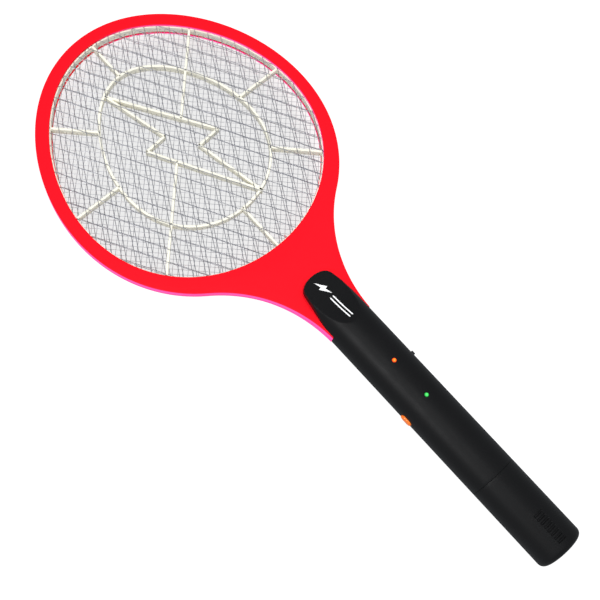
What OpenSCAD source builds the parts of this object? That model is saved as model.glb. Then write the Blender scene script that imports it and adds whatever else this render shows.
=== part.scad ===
// Electric racket fly swatter, lying on its back. X runs along the handle, +Z is the front.
// Lengths inside the modules are measured from the centre of the head's spokes, on the
// mid-plane where the front and rear halves meet.

/* [Head] */
// Length of the head opening along the handle
opening_length = 198; // [170:1:240]
// Width of the head opening
opening_width = 181.6; // [160:0.2:218]
// How much wider the opening is towards the handle
opening_egg = 0.1; // [0:0.01:0.14]
// Width of the rim at the far end
rim_far = 9; // [7.8:0.1:11]
// Width of the rim at the sides
rim_side = 9.2; // [7.8:0.1:11]
// Width of the rim behind the opening, before the neck
rim_near = 13.7; // [12:0.1:18]
// Thickness of the whole head
head_thickness = 10; // [9.5:0.5:14]
// Wall of the two frame halves
frame_wall = 1.6; // [1.2:0.1:1.8]
// Radius of the flare from the head into the handle
flare_radius = 100; // [80:1:120]

/* [Grid and meshes] */
// Length of the oval ring of the spacer grid
ring_length = 131.2; // [108:0.2:145]
// Width of the oval ring
ring_width = 108.4; // [90:0.2:120]
// Width of a grid rib
rib_width = 1.7; // [1.2:0.1:2.4]
// Distance between parallel wires of the front and rear meshes
mesh_pitch = 8.8; // [7:0.05:12]
// Angle between those wires and the handle
mesh_slant = 30; // [25:1:45]
// Distance between parallel wires of the centre mesh
centre_pitch = 7; // [6:0.1:12]
// Thickness of a mesh wire
wire_thickness = 0.45; // [0.4:0.05:0.7]

/* [Handle] */
// Outer diameter of the handle
handle_diameter = 34; // [34:0.5:42]
// Length of the handle from the end of the neck to the butt
grip_length = 197.2; // [184:0.1:240]
// Length of the tongues that lap over the neck
tongue_length = 40; // [34:0.1:48]
// Wall of the handle shells
shell_wall = 2; // [1.6:0.1:2.4]
// Radius of the edge at the butt
butt_edge = 4; // [2:0.5:6]
// How far the flat underside cuts into the round handle
rest_cut = 0.5; // [0.3:0.1:1]

/* [Controls] */
// Diameter of the lamps
lamp_diameter = 3; // [2.5:0.1:4]
// Distance from the neck's end to the red lamp
red_lamp_at = 37.9; // [32:0.1:40]
// Distance between the lamps
lamp_spacing = 30.1; // [27:0.1:32]
// Distance from the neck's end to the middle of the push button
button_at = 71.2; // [68:0.1:74]
// Length of the push button
button_length = 9; // [7:0.5:10]
// Height of the push button
button_height = 5.6; // [4:0.2:6.4]
// Travel of the push button
button_travel = 1; // [0.5:0.1:1.2]
// Distance from the neck's end to the slide switch when it is on
knob_at = 41.8; // [38:0.1:44]
// Length of the slide switch knob along the handle
knob_length = 3; // [2:0.5:4]
// Travel of the slide switch
knob_travel = 2; // [1.5:0.1:2.5]

/* [Power] */
// Length of the battery door
door_length = 63; // [61:0.5:75]
// Diameter of one cell
cell_diameter = 14.2; // [13:0.1:14.5]
// Length of one cell with its terminal
cell_length = 50; // [49:0.1:50.5]
// Length of the circuit board
board_length = 84; // [82:1:92]
// Width of the circuit board
board_width = 26; // [26:0.5:27]

/* [Hidden] */
$fn = 64;

frame_red = [1, 0.12, 0.15];
grid_ivory = [0.92, 0.89, 0.8];
handle_black = [0.1, 0.1, 0.11];
wire_silver = [0.75, 0.76, 0.78];
button_orange = [1, 0.45, 0.08];
dark_plastic = [0.16, 0.16, 0.17];

// An oval is [half length, half width, egg factor, centre]
opening_centre = 4.2;
ring_egg = 0.158;
ring_centre = 1.6;
opening = [opening_length / 2, opening_width / 2, opening_egg, opening_centre];
ring = [ring_length / 2, ring_width / 2, ring_egg, ring_centre];
rim_outside = [
  opening[0] + (rim_far + rim_near) / 2,
  opening[1] + rim_side,
  opening_egg * 0.7,
  opening[3] + (rim_near - rim_far) / 2
];

handle_r = handle_diameter / 2;
bore_r = handle_r - shell_wall;
half_head = head_thickness / 2;
wire = wire_thickness;
flange_z = half_head - frame_wall;
mesh_z = flange_z - wire;
grid_z = wire / 2;
clamp_width = 2;
grid_lip = 0.8;
opening_end = opening[3] + opening[0];
lead_r = 0.6;
solder_y = 8;
solder_z = mesh_z - lead_r - 0.05;
lead_exit_y = 7.5;

// The flare is a circle that touches the rim and still slopes a little at the handle's side
flare_slope = 2.5;
flare_y = handle_r + flare_radius * cos(flare_slope);
touch_angles = [15:0.5:90];
flare_x = flare_centre(rim_outside[0], rim_outside[0] + 2 * flare_radius, 24);
flare_touch = touch_angle(flare_x);

// The neck ends and the handle's full width begins at tube_x
tube_x = flare_x - flare_radius * sin(flare_slope);
butt_x = tube_x + grip_length;
tip_x = tube_x - tongue_length;
far_x = rim_outside[3] - rim_outside[0];
door_x = butt_x - door_length;
origin_x = (far_x + butt_x) / 2;

tang_length = 20;
tang_half = 13;
tongue_gap = 0.05;
door_gap = 0.2;

facet_tip_z = half_head + 4.8;
facet_slope = 0.076;
facet_bend = 19.5;
facet_curve_r = 62.5;
facet_steps = 14;

screw_r = 1.3;
screw_head_r = 2.7;
screw_bore_r = 1.38;
screw_boss_r = 4;
screw_seat_z = -bore_r + 3;
front_screw_x = tube_x + 12;
back_screw_x = door_x - 15;
frame_screw_r = 1;
frame_screw_bore_r = 1.06;
frame_boss_r = 2.1;
frame_screw_angles = [35, 95, 150, 210, 265, 325];

board_thickness = 1.6;
board_top = -2.5;
board_x = tube_x + 21;
red_x = tube_x + red_lamp_at;
green_x = red_x + lamp_spacing;
lamp_r = lamp_diameter / 2;
lamp_proud = 0.5;
lamp_body = 5.3;
leg_spacing = 2.54;
leg = 0.45;

button_x = tube_x + button_at;
button_proud = 1;
button_flange = 1.2;
flange_edge = 1.1;
button_gap = 0.3;
flange_y = -bore_r + 0.9;
plunger_r = 1.7;
plunger_gap = 0.08;
tact_y = flange_y + button_flange + 2.5;
plunger_reach = 0.9;

knob_x = tube_x + knob_at;
knob_height = 2;
knob_proud = 1.9;
switch_size = [8.6, 3.6, 4.7];
switch_y = bore_r - 2 - switch_size[1];
knob_gap = 0.2;

bulkhead_x = door_x + 1.2;
bulkhead_t = 1.8;
bulkhead_top = bore_r - 3.5;
plate_t = 0.4;
cell_x = bulkhead_x + bulkhead_t + plate_t + 3.7;
cell_y = cell_diameter / 2 + 0.2;
nub_r = 2.7;
nub_length = 1.5;
bridge_x = butt_x - shell_wall - plate_t;

// ---- Ovals and the head outline ----

function oval_point(o, t) = [o[3] + o[0] * cos(t), o[1] * sin(t) * (1 + o[2] * cos(t))];

// Outward unit normal of an oval
function oval_normal(o, t) =
  let (
    dx = -o[0] * sin(t),
    dy = o[1] * (cos(t) + o[2] * cos(2 * t)),
    size = norm([dx, dy])
  )
  [dy / size, -dx / size];

function oval_offset(o, t, grow) = oval_point(o, t) + grow * oval_normal(o, t);

function flare_gap(x) =
  min([for (t = touch_angles) norm(oval_point(rim_outside, t) - [x, flare_y])]) - flare_radius;

// Halves the interval until the flare circle just touches the rim
function flare_centre(low, high, steps) =
  let (middle = (low + high) / 2)
  steps == 0 ? middle
  : flare_gap(middle) > 0 ? flare_centre(low, middle, steps - 1)
  : flare_centre(middle, high, steps - 1);

function touch_angle(x) =
  let (
    gaps = [for (t = touch_angles) norm(oval_point(rim_outside, t) - [x, flare_y])],
    least = min(gaps),
    found = [for (i = [0:len(gaps) - 1]) if (gaps[i] == least) i]
  )
  15 + 0.5 * found[0];

module oval(o, grow = 0) {
  polygon([for (t = [0:3:357]) oval_offset(o, t, grow)]);
}

// Outline of the red frame, moved inwards by inset
module frame_outline(inset = 0) {
  touch = oval_point(rim_outside, flare_touch);
  start = atan2(touch[1] - flare_y, touch[0] - flare_x);
  steps = 14;
  rim = [
    for (i = [0:90])
      oval_offset(rim_outside, flare_touch + i * (360 - 2 * flare_touch) / 90, -inset)
  ];
  reach = flare_radius + inset;
  lower = [
    for (i = [1:steps])
      let (a = -start + (90 + flare_slope + start) * i / steps)
      [flare_x + reach * cos(a), -flare_y + reach * sin(a)]
  ];
  upper = [for (i = [steps - 1:-1:0]) [lower[i][0], -lower[i][1]]];
  polygon(concat(rim, lower, upper));
}

module frame_half_pocket() {
  translate([0, 0, -1])
    linear_extrude(1 + half_head - frame_wall)
      difference() {
        frame_outline(frame_wall);
        translate([tube_x - frame_wall, -handle_r])
          square([handle_r, 2 * handle_r]);
      }
  translate([tube_x - 2 * frame_wall, -tang_half + frame_wall, -1])
    cube([tang_length + frame_wall, 2 * (tang_half - frame_wall), 1 + half_head - frame_wall]);
}

// One half of the red frame with its open side at z = 0
module frame_half() {
  difference() {
    union() {
      linear_extrude(half_head)
        frame_outline();
      translate([tube_x - 1, -tang_half, 0])
        cube([tang_length + 1, 2 * tang_half, half_head]);
    }
    translate([0, 0, -1])
      linear_extrude(half_head + 2)
        oval(opening);
    frame_half_pocket();
    translate([front_screw_x, 0, -1])
      cylinder(r = screw_boss_r + 0.3, h = half_head + 2);
    // Ways out of the tang for the two leads
    for (side = [-1, 1])
      translate([tube_x + tang_length - 3, side * lead_exit_y - 1.8, -1])
        cube([4, 3.6, 3]);
  }
}

module at_frame_screws() {
  for (t = frame_screw_angles) {
    place = oval_offset(opening, t, clamp_width + frame_boss_r + 0.25);
    translate([place[0], place[1], 0])
      children();
  }
}

module front_frame() {
  color(frame_red)
    difference() {
      union() {
        frame_half();
        at_frame_screws()
          cylinder(r = frame_boss_r, h = half_head - frame_wall / 2);
      }
      at_frame_screws()
        translate([0, 0, -1])
          cylinder(r = frame_screw_bore_r, h = half_head - frame_wall + 1);
    }
}

module rear_frame() {
  color(frame_red)
    difference() {
      union() {
        mirror([0, 0, 1])
          frame_half();
        at_frame_screws()
          translate([0, 0, -half_head + frame_wall / 2])
            cylinder(r = frame_boss_r, h = half_head - frame_wall / 2);
      }
      at_frame_screws() {
        translate([0, 0, -half_head - 1])
          cylinder(r = frame_screw_bore_r, h = head_thickness);
        translate([0, 0, -half_head - 1])
          cylinder(r = frame_screw_r + 0.75, h = 1 + 1.4);
      }
    }
}

module frame_screws() {
  color(wire_silver)
    at_frame_screws() {
      translate([0, 0, -half_head + 0.1])
        cylinder(r = frame_screw_r + 0.65, h = 1.3);
      translate([0, 0, -half_head + 1])
        cylinder(r = frame_screw_r, h = head_thickness - frame_wall - 1.4);
    }
}

// ---- Spacer grids and meshes ----

function between(a, b, share) = a + (b - a) * share;

// A straight rib with round ends
module rib(a, b, width) {
  run = b - a;
  translate(a)
    rotate(atan2(run[1], run[0]))
      translate([0, -width / 2])
        square([norm(run), width]);
  for (p = [a, b])
    translate(p)
      circle(d = width + 0.04, $fn = 24);
}

// Corners of the bolt as shares of the ring's half length and half width
bolt = [
  for (p = [[-0.875, -0.335], [0.163, 0.482], [0.186, 0.15], [0.995, 0.349], [-0.104, -0.422],
      [-0.124, -0.113]])
    [p[0] * ring[0], p[1] * ring[1]]
];
side_spoke_x = 1.57;
inner_spoke_ends = [[-11.3, 11.3], [12.2, -12.2]];

// Angle on an oval of the point that lies in a direction from the spoke centre
function oval_angle(o, direction, low, high, steps) =
  let (middle = (low + high) / 2, p = oval_point(o, middle))
  steps == 0 ? middle
  : atan2(p[1], p[0]) < direction ? oval_angle(o, direction, middle, high, steps - 1)
  : oval_angle(o, direction, low, middle, steps - 1);

// The two spokes across the handle stand a little beside the centre
function spoke_end(o, direction, side) =
  let (
    p = oval_point(o, oval_angle(o, direction, 0, 180, 20)),
    beside = direction == 90 ? side_spoke_x : 0
  )
  [p[0] + beside, side * p[1]];

module grid_outline() {
  difference() {
    oval(opening, clamp_width);
    oval(opening, -grid_lip);
  }
  difference() {
    oval(ring, rib_width / 2);
    oval(ring, -rib_width / 2);
  }
  for (direction = [0:45:180], side = [-1, 1])
    rib(spoke_end(ring, direction, side), spoke_end(opening, direction, side), rib_width);
  rib(spoke_end(ring, 135, 1), inner_spoke_ends[0], rib_width);
  rib(spoke_end(ring, 45, -1), inner_spoke_ends[1], rib_width);
  for (i = [0:5])
    rib(bolt[i], bolt[(i + 1) % 6], rib_width);
}

// The moulding with a notch in its rim for the lead that is soldered to the mesh
module front_grid() {
  color(grid_ivory)
    difference() {
      translate([0, 0, grid_z])
        linear_extrude(mesh_z - grid_z)
          grid_outline();
      translate([opening_end - 3, solder_y - lead_r - 0.3, solder_z - lead_r - 0.3])
        cube([clamp_width + 5, 2 * lead_r + 0.6, 2 * lead_r + 1]);
    }
}

module rear_grid() {
  color(grid_ivory)
    mirror([0, 0, 1])
      front_grid();
}

// Two families of wires, at plus and minus the slant, inside a closed edge wire
module mesh_outline(pitch, slant, shift) {
  rows = ceil(opening[0] / pitch) + 2;
  intersection() {
    oval(opening, clamp_width);
    union()
      for (turn = [-slant, slant], row = [-rows:rows])
        rotate(turn)
          translate([-1.3 * opening[0], row * pitch + shift - wire / 2])
            square([2.6 * opening[0], wire]);
  }
  difference() {
    oval(opening, clamp_width);
    oval(opening, clamp_width - wire);
  }
}

module mesh(z, pitch, slant, shift) {
  color(wire_silver)
    translate([0, 0, z])
      linear_extrude(wire)
        mesh_outline(pitch, slant, shift);
}

module front_mesh() {
  mesh(mesh_z, mesh_pitch, mesh_slant, 0);
}

module centre_mesh() {
  mesh(-wire / 2, centre_pitch, 45, 0);
}

module rear_mesh() {
  mesh(-mesh_z - wire, mesh_pitch, mesh_slant, mesh_pitch / 3);
}

// ---- Handle shells ----

// Half width of the tongue at a distance from its tip: a straight taper with a blunt nose
function tongue_half(s, inset) =
  let (
    nose = 7,
    blunt = 2.4,
    tip_half = 0.63 * handle_r,
    neck_half = handle_r + 1,
    left = max(0, 1 - s / nose)
  )
  (tip_half + (neck_half - tip_half) * s / tongue_length)
  * pow(1 - pow(left, blunt), 1 / blunt) - inset;

// Seen from above: the tongue, then the whole width of the grip
module handle_plan(inset = 0) {
  nose = [for (i = [1:10]) 7 * pow(i / 10, 2)];
  tongue = [
    for (s = concat(nose, [tongue_length]))
      if (tongue_half(s, inset) > 1)
        [tip_x + s + inset * max(0, 1 - s / 7), tongue_half(s, inset)]
  ];
  side = concat(tongue, [[tube_x, 2 * handle_r], [butt_x + 1, 2 * handle_r]]);
  back = [for (i = [len(side) - 1:-1:0]) [side[i][0], -side[i][1]]];
  polygon(concat(side, back));
}

module handle_prism(inset = 0) {
  translate([0, 0, -2 * handle_r])
    linear_extrude(4 * handle_r)
      handle_plan(inset);
}

// A round bar along the handle
module bar(r, from, to) {
  translate([from, 0, 0])
    rotate([0, 90, 0])
      cylinder(r = r, h = to - from, $fn = 96);
}

function facet_height(s) =
  facet_tip_z + facet_slope * s + pow(max(0, s - facet_bend), 2) / (2 * facet_curve_r);

// Everything above the scooped flat on the front tongue, lowered or raised by a step
module above_facet(step = 0) {
  run = tongue_length + 6;
  stations = concat([-5, 0], [for (i = [0:facet_steps]) between(facet_bend, run, i / facet_steps)]);
  line = [for (s = stations) [tip_x + s, facet_height(s) + step]];
  translate([0, handle_r + 1, 0])
    rotate([90, 0, 0])
      linear_extrude(2 * handle_r + 2)
        polygon(concat(line, [
          [tip_x + run, 2 * handle_r],
          [tip_x - 5, 2 * handle_r]
        ]));
}

// Everything below the sloping nose of the rear tongue
module below_nose(step = 0) {
  translate([0, handle_r + 1, 0])
    rotate([90, 0, 0])
      linear_extrude(2 * handle_r + 2)
        polygon([
          [tip_x - 5, -half_head - 1.6 + step],
          [tip_x + 17, -handle_r + step],
          [tip_x - 5, -2 * handle_r]
        ]);
}

// The grip with its rounded butt edge
module grip_body(r, from, to, edge) {
  length = to - from;
  translate([from, 0, 0])
    rotate([0, 90, 0])
      rotate_extrude($fn = 96)
        union() {
          square([r, length - edge]);
          square([r - edge, length]);
          translate([r - edge, length - edge])
            intersection() {
              circle(edge, $fn = 48);
              square(edge + 1);
            }
        }
}

module upper_half(from, to, base = 0) {
  translate([from, -2 * handle_r, base])
    cube([to - from, 4 * handle_r, 2 * handle_r]);
}

module lower_half(from, to, top = 0) {
  translate([from, -2 * handle_r, top - 2 * handle_r])
    cube([to - from, 4 * handle_r, 2 * handle_r]);
}

// Holes through the wall for the lamps
module lamp_holes() {
  for (x = [red_x, green_x])
    translate([x, 0, bore_r - 2])
      cylinder(r = lamp_r + 0.1, h = shell_wall + 4);
}

// Upright slot with round ends through the side wall, as wide as length and height
module side_slot(x, length, height, side) {
  translate([x, side * bore_r / 2, 0])
    rotate([-side * 90, 0, 0])
      linear_extrude(handle_r)
        union() {
          square([length - height, height], center = true);
          for (end = [-1, 1])
            translate([end * (length - height) / 2, 0])
              circle(d = height, $fn = 32);
        }
}

module button_hole() {
  side_slot(button_x, button_length + 2 * button_gap, button_height + 2 * button_gap, -1);
}

module knob_slot() {
  length = knob_length + knob_travel + 2 * knob_gap;
  translate([knob_x + knob_length / 2 + knob_gap - length, bore_r - 1, -knob_height / 2 - knob_gap])
    cube([length, shell_wall + 3, knob_height + 2 * knob_gap]);
}

module screw_posts(base, height) {
  for (x = [front_screw_x, back_screw_x])
    translate([x, 0, base])
      cylinder(r = screw_boss_r, h = height);
}

module front_shell() {
  color(handle_black)
    difference() {
      intersection() {
        bar(handle_r, tip_x - 1, door_x);
        handle_prism();
      }
      lower_half(tip_x - 2, door_x + 1);
      lower_half(tip_x - 2, tube_x, half_head + tongue_gap);
      above_facet();
      difference() {
        intersection() {
          bar(bore_r, tip_x - 1, door_x + 1);
          handle_prism(shell_wall);
        }
        above_facet(-shell_wall);
        screw_posts(0.05, handle_r);
      }
      for (x = [front_screw_x, back_screw_x])
        translate([x, 0, -1])
          cylinder(r = screw_bore_r, h = 10.5);
      lamp_holes();
      button_hole();
      knob_slot();
    }
}

// Cross rib that carries the circuit board
module board_rib(x) {
  translate([x, -handle_r, -2 * handle_r])
    cube([1.6, 2 * handle_r, 2 * handle_r + board_top - board_thickness]);
}

module bulkhead_top_half() {
  difference() {
    intersection() {
      bar(bore_r - 0.2, bulkhead_x + 0.1, bulkhead_x + bulkhead_t - 0.1);
      translate([bulkhead_x - 1, -handle_r, -3])
        cube([bulkhead_t + 2, 2 * handle_r, 3 + bulkhead_top]);
    }
    translate([bulkhead_x - 1, -3, bulkhead_top - 3])
      cube([bulkhead_t + 2, 6, 5]);
  }
}

module rear_shell() {
  color(handle_black)
    union() {
      difference() {
        intersection() {
          grip_body(handle_r, tip_x - 1, butt_x, butt_edge);
          handle_prism();
        }
        upper_half(tip_x - 2, butt_x + 1);
        upper_half(tip_x - 2, tube_x, -half_head - tongue_gap);
        below_nose();
        difference() {
          intersection() {
            bar(bore_r, tip_x - 1, butt_x - shell_wall);
            handle_prism(shell_wall);
          }
          below_nose(shell_wall);
          screw_posts(-handle_r, handle_r - 0.05);
          board_rib(board_x + 4);
          board_rib(board_x + board_length - 6);
          translate([bulkhead_x, -handle_r, -2 * handle_r])
            cube([bulkhead_t, 2 * handle_r, 2 * handle_r]);
        }
        translate([tip_x - 10, -handle_r, -2 * handle_r])
          cube([butt_x, 2 * handle_r, handle_r + rest_cut]);
        for (x = [front_screw_x, back_screw_x]) {
          translate([x, 0, -handle_r - 1])
            cylinder(r = screw_bore_r, h = handle_r + 2);
          translate([x, 0, -handle_r - 1])
            cylinder(r = screw_head_r + 0.2, h = handle_r + 1 + screw_seat_z);
        }
        button_hole();
        knob_slot();
      }
      bulkhead_top_half();
    }
}

module shell_screws() {
  color(wire_silver)
    for (x = [front_screw_x, back_screw_x])
      translate([x, 0, 0]) {
        translate([0, 0, screw_seat_z - 1.8])
          cylinder(r = screw_head_r, h = 1.8);
        translate([0, 0, screw_seat_z - 0.5])
          cylinder(r = screw_r, h = 9 - screw_seat_z);
      }
}

// White print on the scooped flat: a plain bolt and two plain bars
emblem_t = 0.15;
mark_x = tip_x + 11;
mark_bar = [19, 0.9];
mark_bar_start = 8;
mark_bar_y = 1.2;
mark_bolt = [[-6.5, -2.2], [1, 2.9], [1.3, 0.9], [6.5, 2.2], [-1, -2.9], [-1.3, -0.9]];

module emblem() {
  color("white")
    intersection() {
      difference() {
        above_facet();
        above_facet(emblem_t);
      }
      translate([mark_x, 0, 0])
        linear_extrude(handle_r)
          union() {
            polygon(mark_bolt);
            for (side = [-1, 1])
              translate([mark_bar_start, side * mark_bar_y - mark_bar[1] / 2])
                square(mark_bar);
          }
    }
}

// ---- Battery door ----

rib_patch_x = butt_x - 27.7;
thumb_ribs = 7;
thumb_pitch = 2.96;
groove = [1.7, 6.8, 0.9];

module battery_door() {
  color(handle_black)
    difference() {
      union() {
        difference() {
          intersection() {
            grip_body(handle_r, door_x + door_gap, butt_x, butt_edge);
            upper_half(door_x, butt_x + 1, 0.02);
          }
          bar(bore_r, door_x, butt_x - shell_wall + door_gap);
        }
        // Tab that hooks under the front shell
        intersection() {
          difference() {
            bar(bore_r + 0.5, door_x - 5, door_x + 8);
            bar(bore_r - 2, door_x - 6, door_x + 9);
            difference() {
              bar(bore_r + 1, door_x - 6, door_x + door_gap);
              bar(bore_r - 0.3, door_x - 7, door_x + 1);
            }
          }
          translate([door_x - 6, -6, 0])
            cube([16, 12, handle_r]);
        }
      }
      // Grooves between the thumb ribs
      for (i = [0:thumb_ribs])
        translate([rib_patch_x + i * thumb_pitch - 2, -groove[1] / 2, handle_r - groove[2]])
          cube([groove[0], groove[1], groove[2] + 1]);
    }
}

// ---- Lamps ----

lamp_top = handle_r + lamp_proud;
lamp_base = lamp_top - lamp_body;

module led(x, tint) {
  color(tint)
    translate([x, 0, 0]) {
      translate([0, 0, lamp_base])
        cylinder(r = lamp_r, h = lamp_body - lamp_r);
      translate([0, 0, lamp_top - lamp_r])
        sphere(r = lamp_r);
      translate([0, 0, lamp_base])
        cylinder(r = lamp_r + 0.4, h = 0.9);
    }
}

module red_led() {
  led(red_x, "orangered");
}

module green_led() {
  led(green_x, "limegreen");
}

module led_legs() {
  color(wire_silver)
    for (x = [red_x, green_x], side = [-1, 1])
      translate([x + side * leg_spacing / 2 - leg / 2, -leg / 2, board_top])
        cube([leg, leg, lamp_base - board_top]);
}

// ---- Controls ----

module stadium(length, height) {
  square([length - height, height], center = true);
  for (end = [-1, 1])
    translate([end * (length - height) / 2, 0])
      circle(d = height, $fn = 32);
}

module push_button() {
  color(button_orange)
    translate([button_x, 0, 0])
      rotate([90, 0, 0]) {
        translate([0, 0, -flange_y - 0.5])
          linear_extrude(handle_r + button_proud + flange_y + 0.5)
            stadium(button_length, button_height);
        translate([0, 0, -flange_y - button_flange])
          linear_extrude(button_flange)
            stadium(button_length + 2 * flange_edge, button_height + 2 * flange_edge);
      }
}

module switch_plunger() {
  color(dark_plastic)
    translate([button_x, flange_y + button_flange, 0])
      rotate([-90, 0, 0])
        cylinder(r = plunger_r, h = tact_y + plunger_reach - flange_y - button_flange);
}

module tact_switch() {
  depth = plunger_reach + button_travel + 0.3;
  color(dark_plastic)
    difference() {
      translate([button_x - 3, tact_y, board_top])
        cube([6, depth + 0.8, -2 * board_top]);
      translate([button_x, tact_y - 1, 0])
        rotate([-90, 0, 0])
          cylinder(r = plunger_r + plunger_gap, h = depth + 1);
    }
}

module slide_knob() {
  foot = 1.8;
  color(dark_plastic)
    translate([knob_x - knob_length / 2, switch_y + switch_size[1] - foot, -knob_height / 2])
      cube([
        knob_length,
        handle_r + knob_proud - switch_y - switch_size[1] + foot,
        knob_height
      ]);
}

module slide_switch() {
  length = knob_length + knob_travel + 2 * knob_gap;
  color(wire_silver)
    difference() {
      translate([knob_x - knob_travel / 2 - switch_size[0] / 2, switch_y, board_top])
        cube(switch_size);
      translate([
        knob_x + knob_length / 2 + knob_gap - length,
        switch_y + switch_size[1] - 2,
        -knob_height / 2 - knob_gap
      ])
        cube([length, 3, knob_height + 2 * knob_gap]);
    }
}

// ---- Circuit board and its parts ----

// The board's edge is cut away behind the push button's flange
module circuit_board() {
  notch = button_length + 2 * flange_edge + 2;
  notch_y = flange_y + button_flange + button_travel + 0.4;
  color("darkgreen")
    difference() {
      translate([board_x, -board_width / 2, board_top - board_thickness])
        cube([board_length, board_width, board_thickness]);
      translate([button_x - notch / 2, notch_y - handle_r, board_top - board_thickness - 1])
        cube([notch, handle_r, board_thickness + 2]);
    }
}

coil_x = green_x + 14;
leg_width = 4;
core_size = [5, 15, 12];
coil_r = 5.4;

module transformer_core() {
  window = [core_size[0] + 2, 3.6, core_size[2] - 4];
  color("dimgray")
    difference() {
      translate([coil_x - core_size[0] / 2, -core_size[1] / 2, board_top])
        cube(core_size);
      for (side = [-1, 1])
        translate([
          coil_x - window[0] / 2,
          side * (leg_width / 2 + window[1] / 2) - window[1] / 2,
          board_top + 2
        ])
          cube(window);
    }
}

module transformer_winding() {
  height = core_size[2] - 4.2;
  color("goldenrod")
    difference() {
      translate([coil_x, 0, board_top + 2.1])
        intersection() {
          cylinder(r = coil_r, h = height);
          translate([-coil_r - 1, -coil_r - 1, 0])
            cube([2 * coil_r + 2, 2 * coil_r + 2, height]);
        }
      translate([coil_x - core_size[0] / 2 - 0.1, -leg_width / 2 - 0.1, board_top + 1])
        cube([core_size[0] + 0.2, leg_width + 0.2, height + 3]);
    }
}

module storage_capacitor() {
  color("firebrick")
    translate([red_x + 5, -4.5, board_top])
      cube([17, 7, 11]);
}

module smoothing_capacitor() {
  color("midnightblue")
    translate([coil_x + 12, -7, board_top])
      cylinder(r = 3, h = 8);
}

// An axial part that lies on the board with its two bent legs
module axial(x, y, r, length) {
  reach = 1.5;
  translate([x, y, board_top + r])
    rotate([0, 90, 0])
      cylinder(r = r, h = length);
  translate([x - reach, y, board_top + r])
    rotate([0, 90, 0])
      cylinder(r = 0.25, h = length + 2 * reach, $fn = 16);
  for (end = [x - reach, x + length + reach])
    translate([end - 0.3, y - 0.3, board_top])
      cube([0.6, 0.6, r + 0.4]);
}

module diodes() {
  color(dark_plastic)
    for (i = [0:3])
      axial(board_x + 3.5 + i * 9.4, -10.2, 1.3, 5);
}

module resistors() {
  color("tan")
    for (i = [0:2])
      axial(coil_x - 8 + i * 10.4, 9.5, 1.1, 6.3);
}

module transistor() {
  color(dark_plastic)
    translate([coil_x + 12.5, 3.5, board_top]) {
      difference() {
        translate([0, 0, 3])
          cylinder(r = 2.4, h = 4.6);
        translate([1.4, -3, 2])
          cube([3, 6, 7]);
      }
      for (y = [-1.27, 0, 1.27])
        translate([-0.25, y - 0.25, 0])
          cube([0.5, 0.5, 3.2]);
    }
}

// ---- Cells and contacts ----

// One cell from x = 0, with its terminal at the end that points along side
module cell(side) {
  body = cell_length - nub_length;
  bar(cell_diameter / 2, side > 0 ? 0 : nub_length, side > 0 ? body : cell_length);
  bar(nub_r, side > 0 ? body - 0.5 : 0, side > 0 ? cell_length : nub_length + 0.5);
}

module battery_cells() {
  color("steelblue") {
    translate([cell_x, -cell_y, 0])
      cell(-1);
    translate([cell_x, cell_y, 0])
      cell(1);
  }
}

module cell_contacts() {
  x = bulkhead_x + bulkhead_t;
  color(wire_silver) {
    for (side = [-1, 1])
      translate([x, side * cell_y - 5, -5])
        cube([plate_t, 10, 10]);
    translate([0, -cell_y, 0])
      bar(2.4, x + plate_t, cell_x);
  }
}

// Tube of eight-sided rings along a list of points
function unit(v) = v / norm(v);

function tube_ring(points, i, r) =
  let (
    last = len(points) - 1,
    along = unit(points[min(i + 1, last)] - points[max(i - 1, 0)]),
    side = unit(cross(along, [0.13, 0.31, 0.94])),
    up = cross(side, along)
  )
  [for (k = [0:7]) points[i] + r * (side * cos(45 * k) + up * sin(45 * k))];

module tube(points, r) {
  n = len(points);
  rings = [for (i = [0:n - 1]) each tube_ring(points, i, r)];
  walls = [
    for (i = [0:n - 2], k = [0:7])
      let (a = 8 * i + k, b = 8 * i + (k + 1) % 8)
      each [[a, b, b + 8], [a, b + 8, a + 8]]
  ];
  ends = [[for (k = [7:-1:0]) k], [for (k = [0:7]) 8 * (n - 1) + k]];
  polyhedron(rings, concat(walls, ends));
}

// Conical spring along X: turns of wire from a wide foot to a narrow end
module cone_spring(x, y, length, wide, narrow, turns) {
  steps = turns * 12;
  tube([
    for (i = [0:steps])
      let (a = 360 * turns * i / steps, r = between(wide, narrow, i / steps))
      [x + 0.3 + (length - 0.6) * i / steps, y + r * cos(a), r * sin(a)]
  ], 0.28);
}

module contact_springs() {
  x = bulkhead_x + bulkhead_t + plate_t;
  foot = bridge_x - cell_x - cell_length;
  color(wire_silver) {
    cone_spring(x, cell_y, cell_x - x, 4.4, 2.6, 3);
    translate([bridge_x, 0, 0])
      mirror([1, 0, 0])
        cone_spring(0, -cell_y, foot, 4.4, 2.6, 3);
  }
}

module bridge_contact() {
  color(wire_silver) {
    translate([bridge_x, -cell_y - 5, -8])
      cube([plate_t, 2 * cell_y + 10, 12.5]);
    translate([0, cell_y, 0])
      bar(2.4, cell_x + cell_length, bridge_x);
  }
}

// ---- Wires inside the handle ----

// Smooth curve through hand-chosen points
function spline_point(p0, p1, p2, p3, t) =
  0.5 * (2 * p1 + (p2 - p0) * t + (2 * p0 - 5 * p1 + 4 * p2 - p3) * t * t
  + (3 * p1 - p0 - 3 * p2 + p3) * t * t * t);

function smooth(points, steps) =
  let (n = len(points) - 1)
  concat(
    [
      for (i = [0:n - 1], k = [0:steps - 1])
        spline_point(
          points[max(i - 1, 0)], points[i], points[i + 1], points[min(i + 2, n)], k / steps
        )
    ],
    [points[n]]
  );

board_pad_z = board_top + lead_r;

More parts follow.
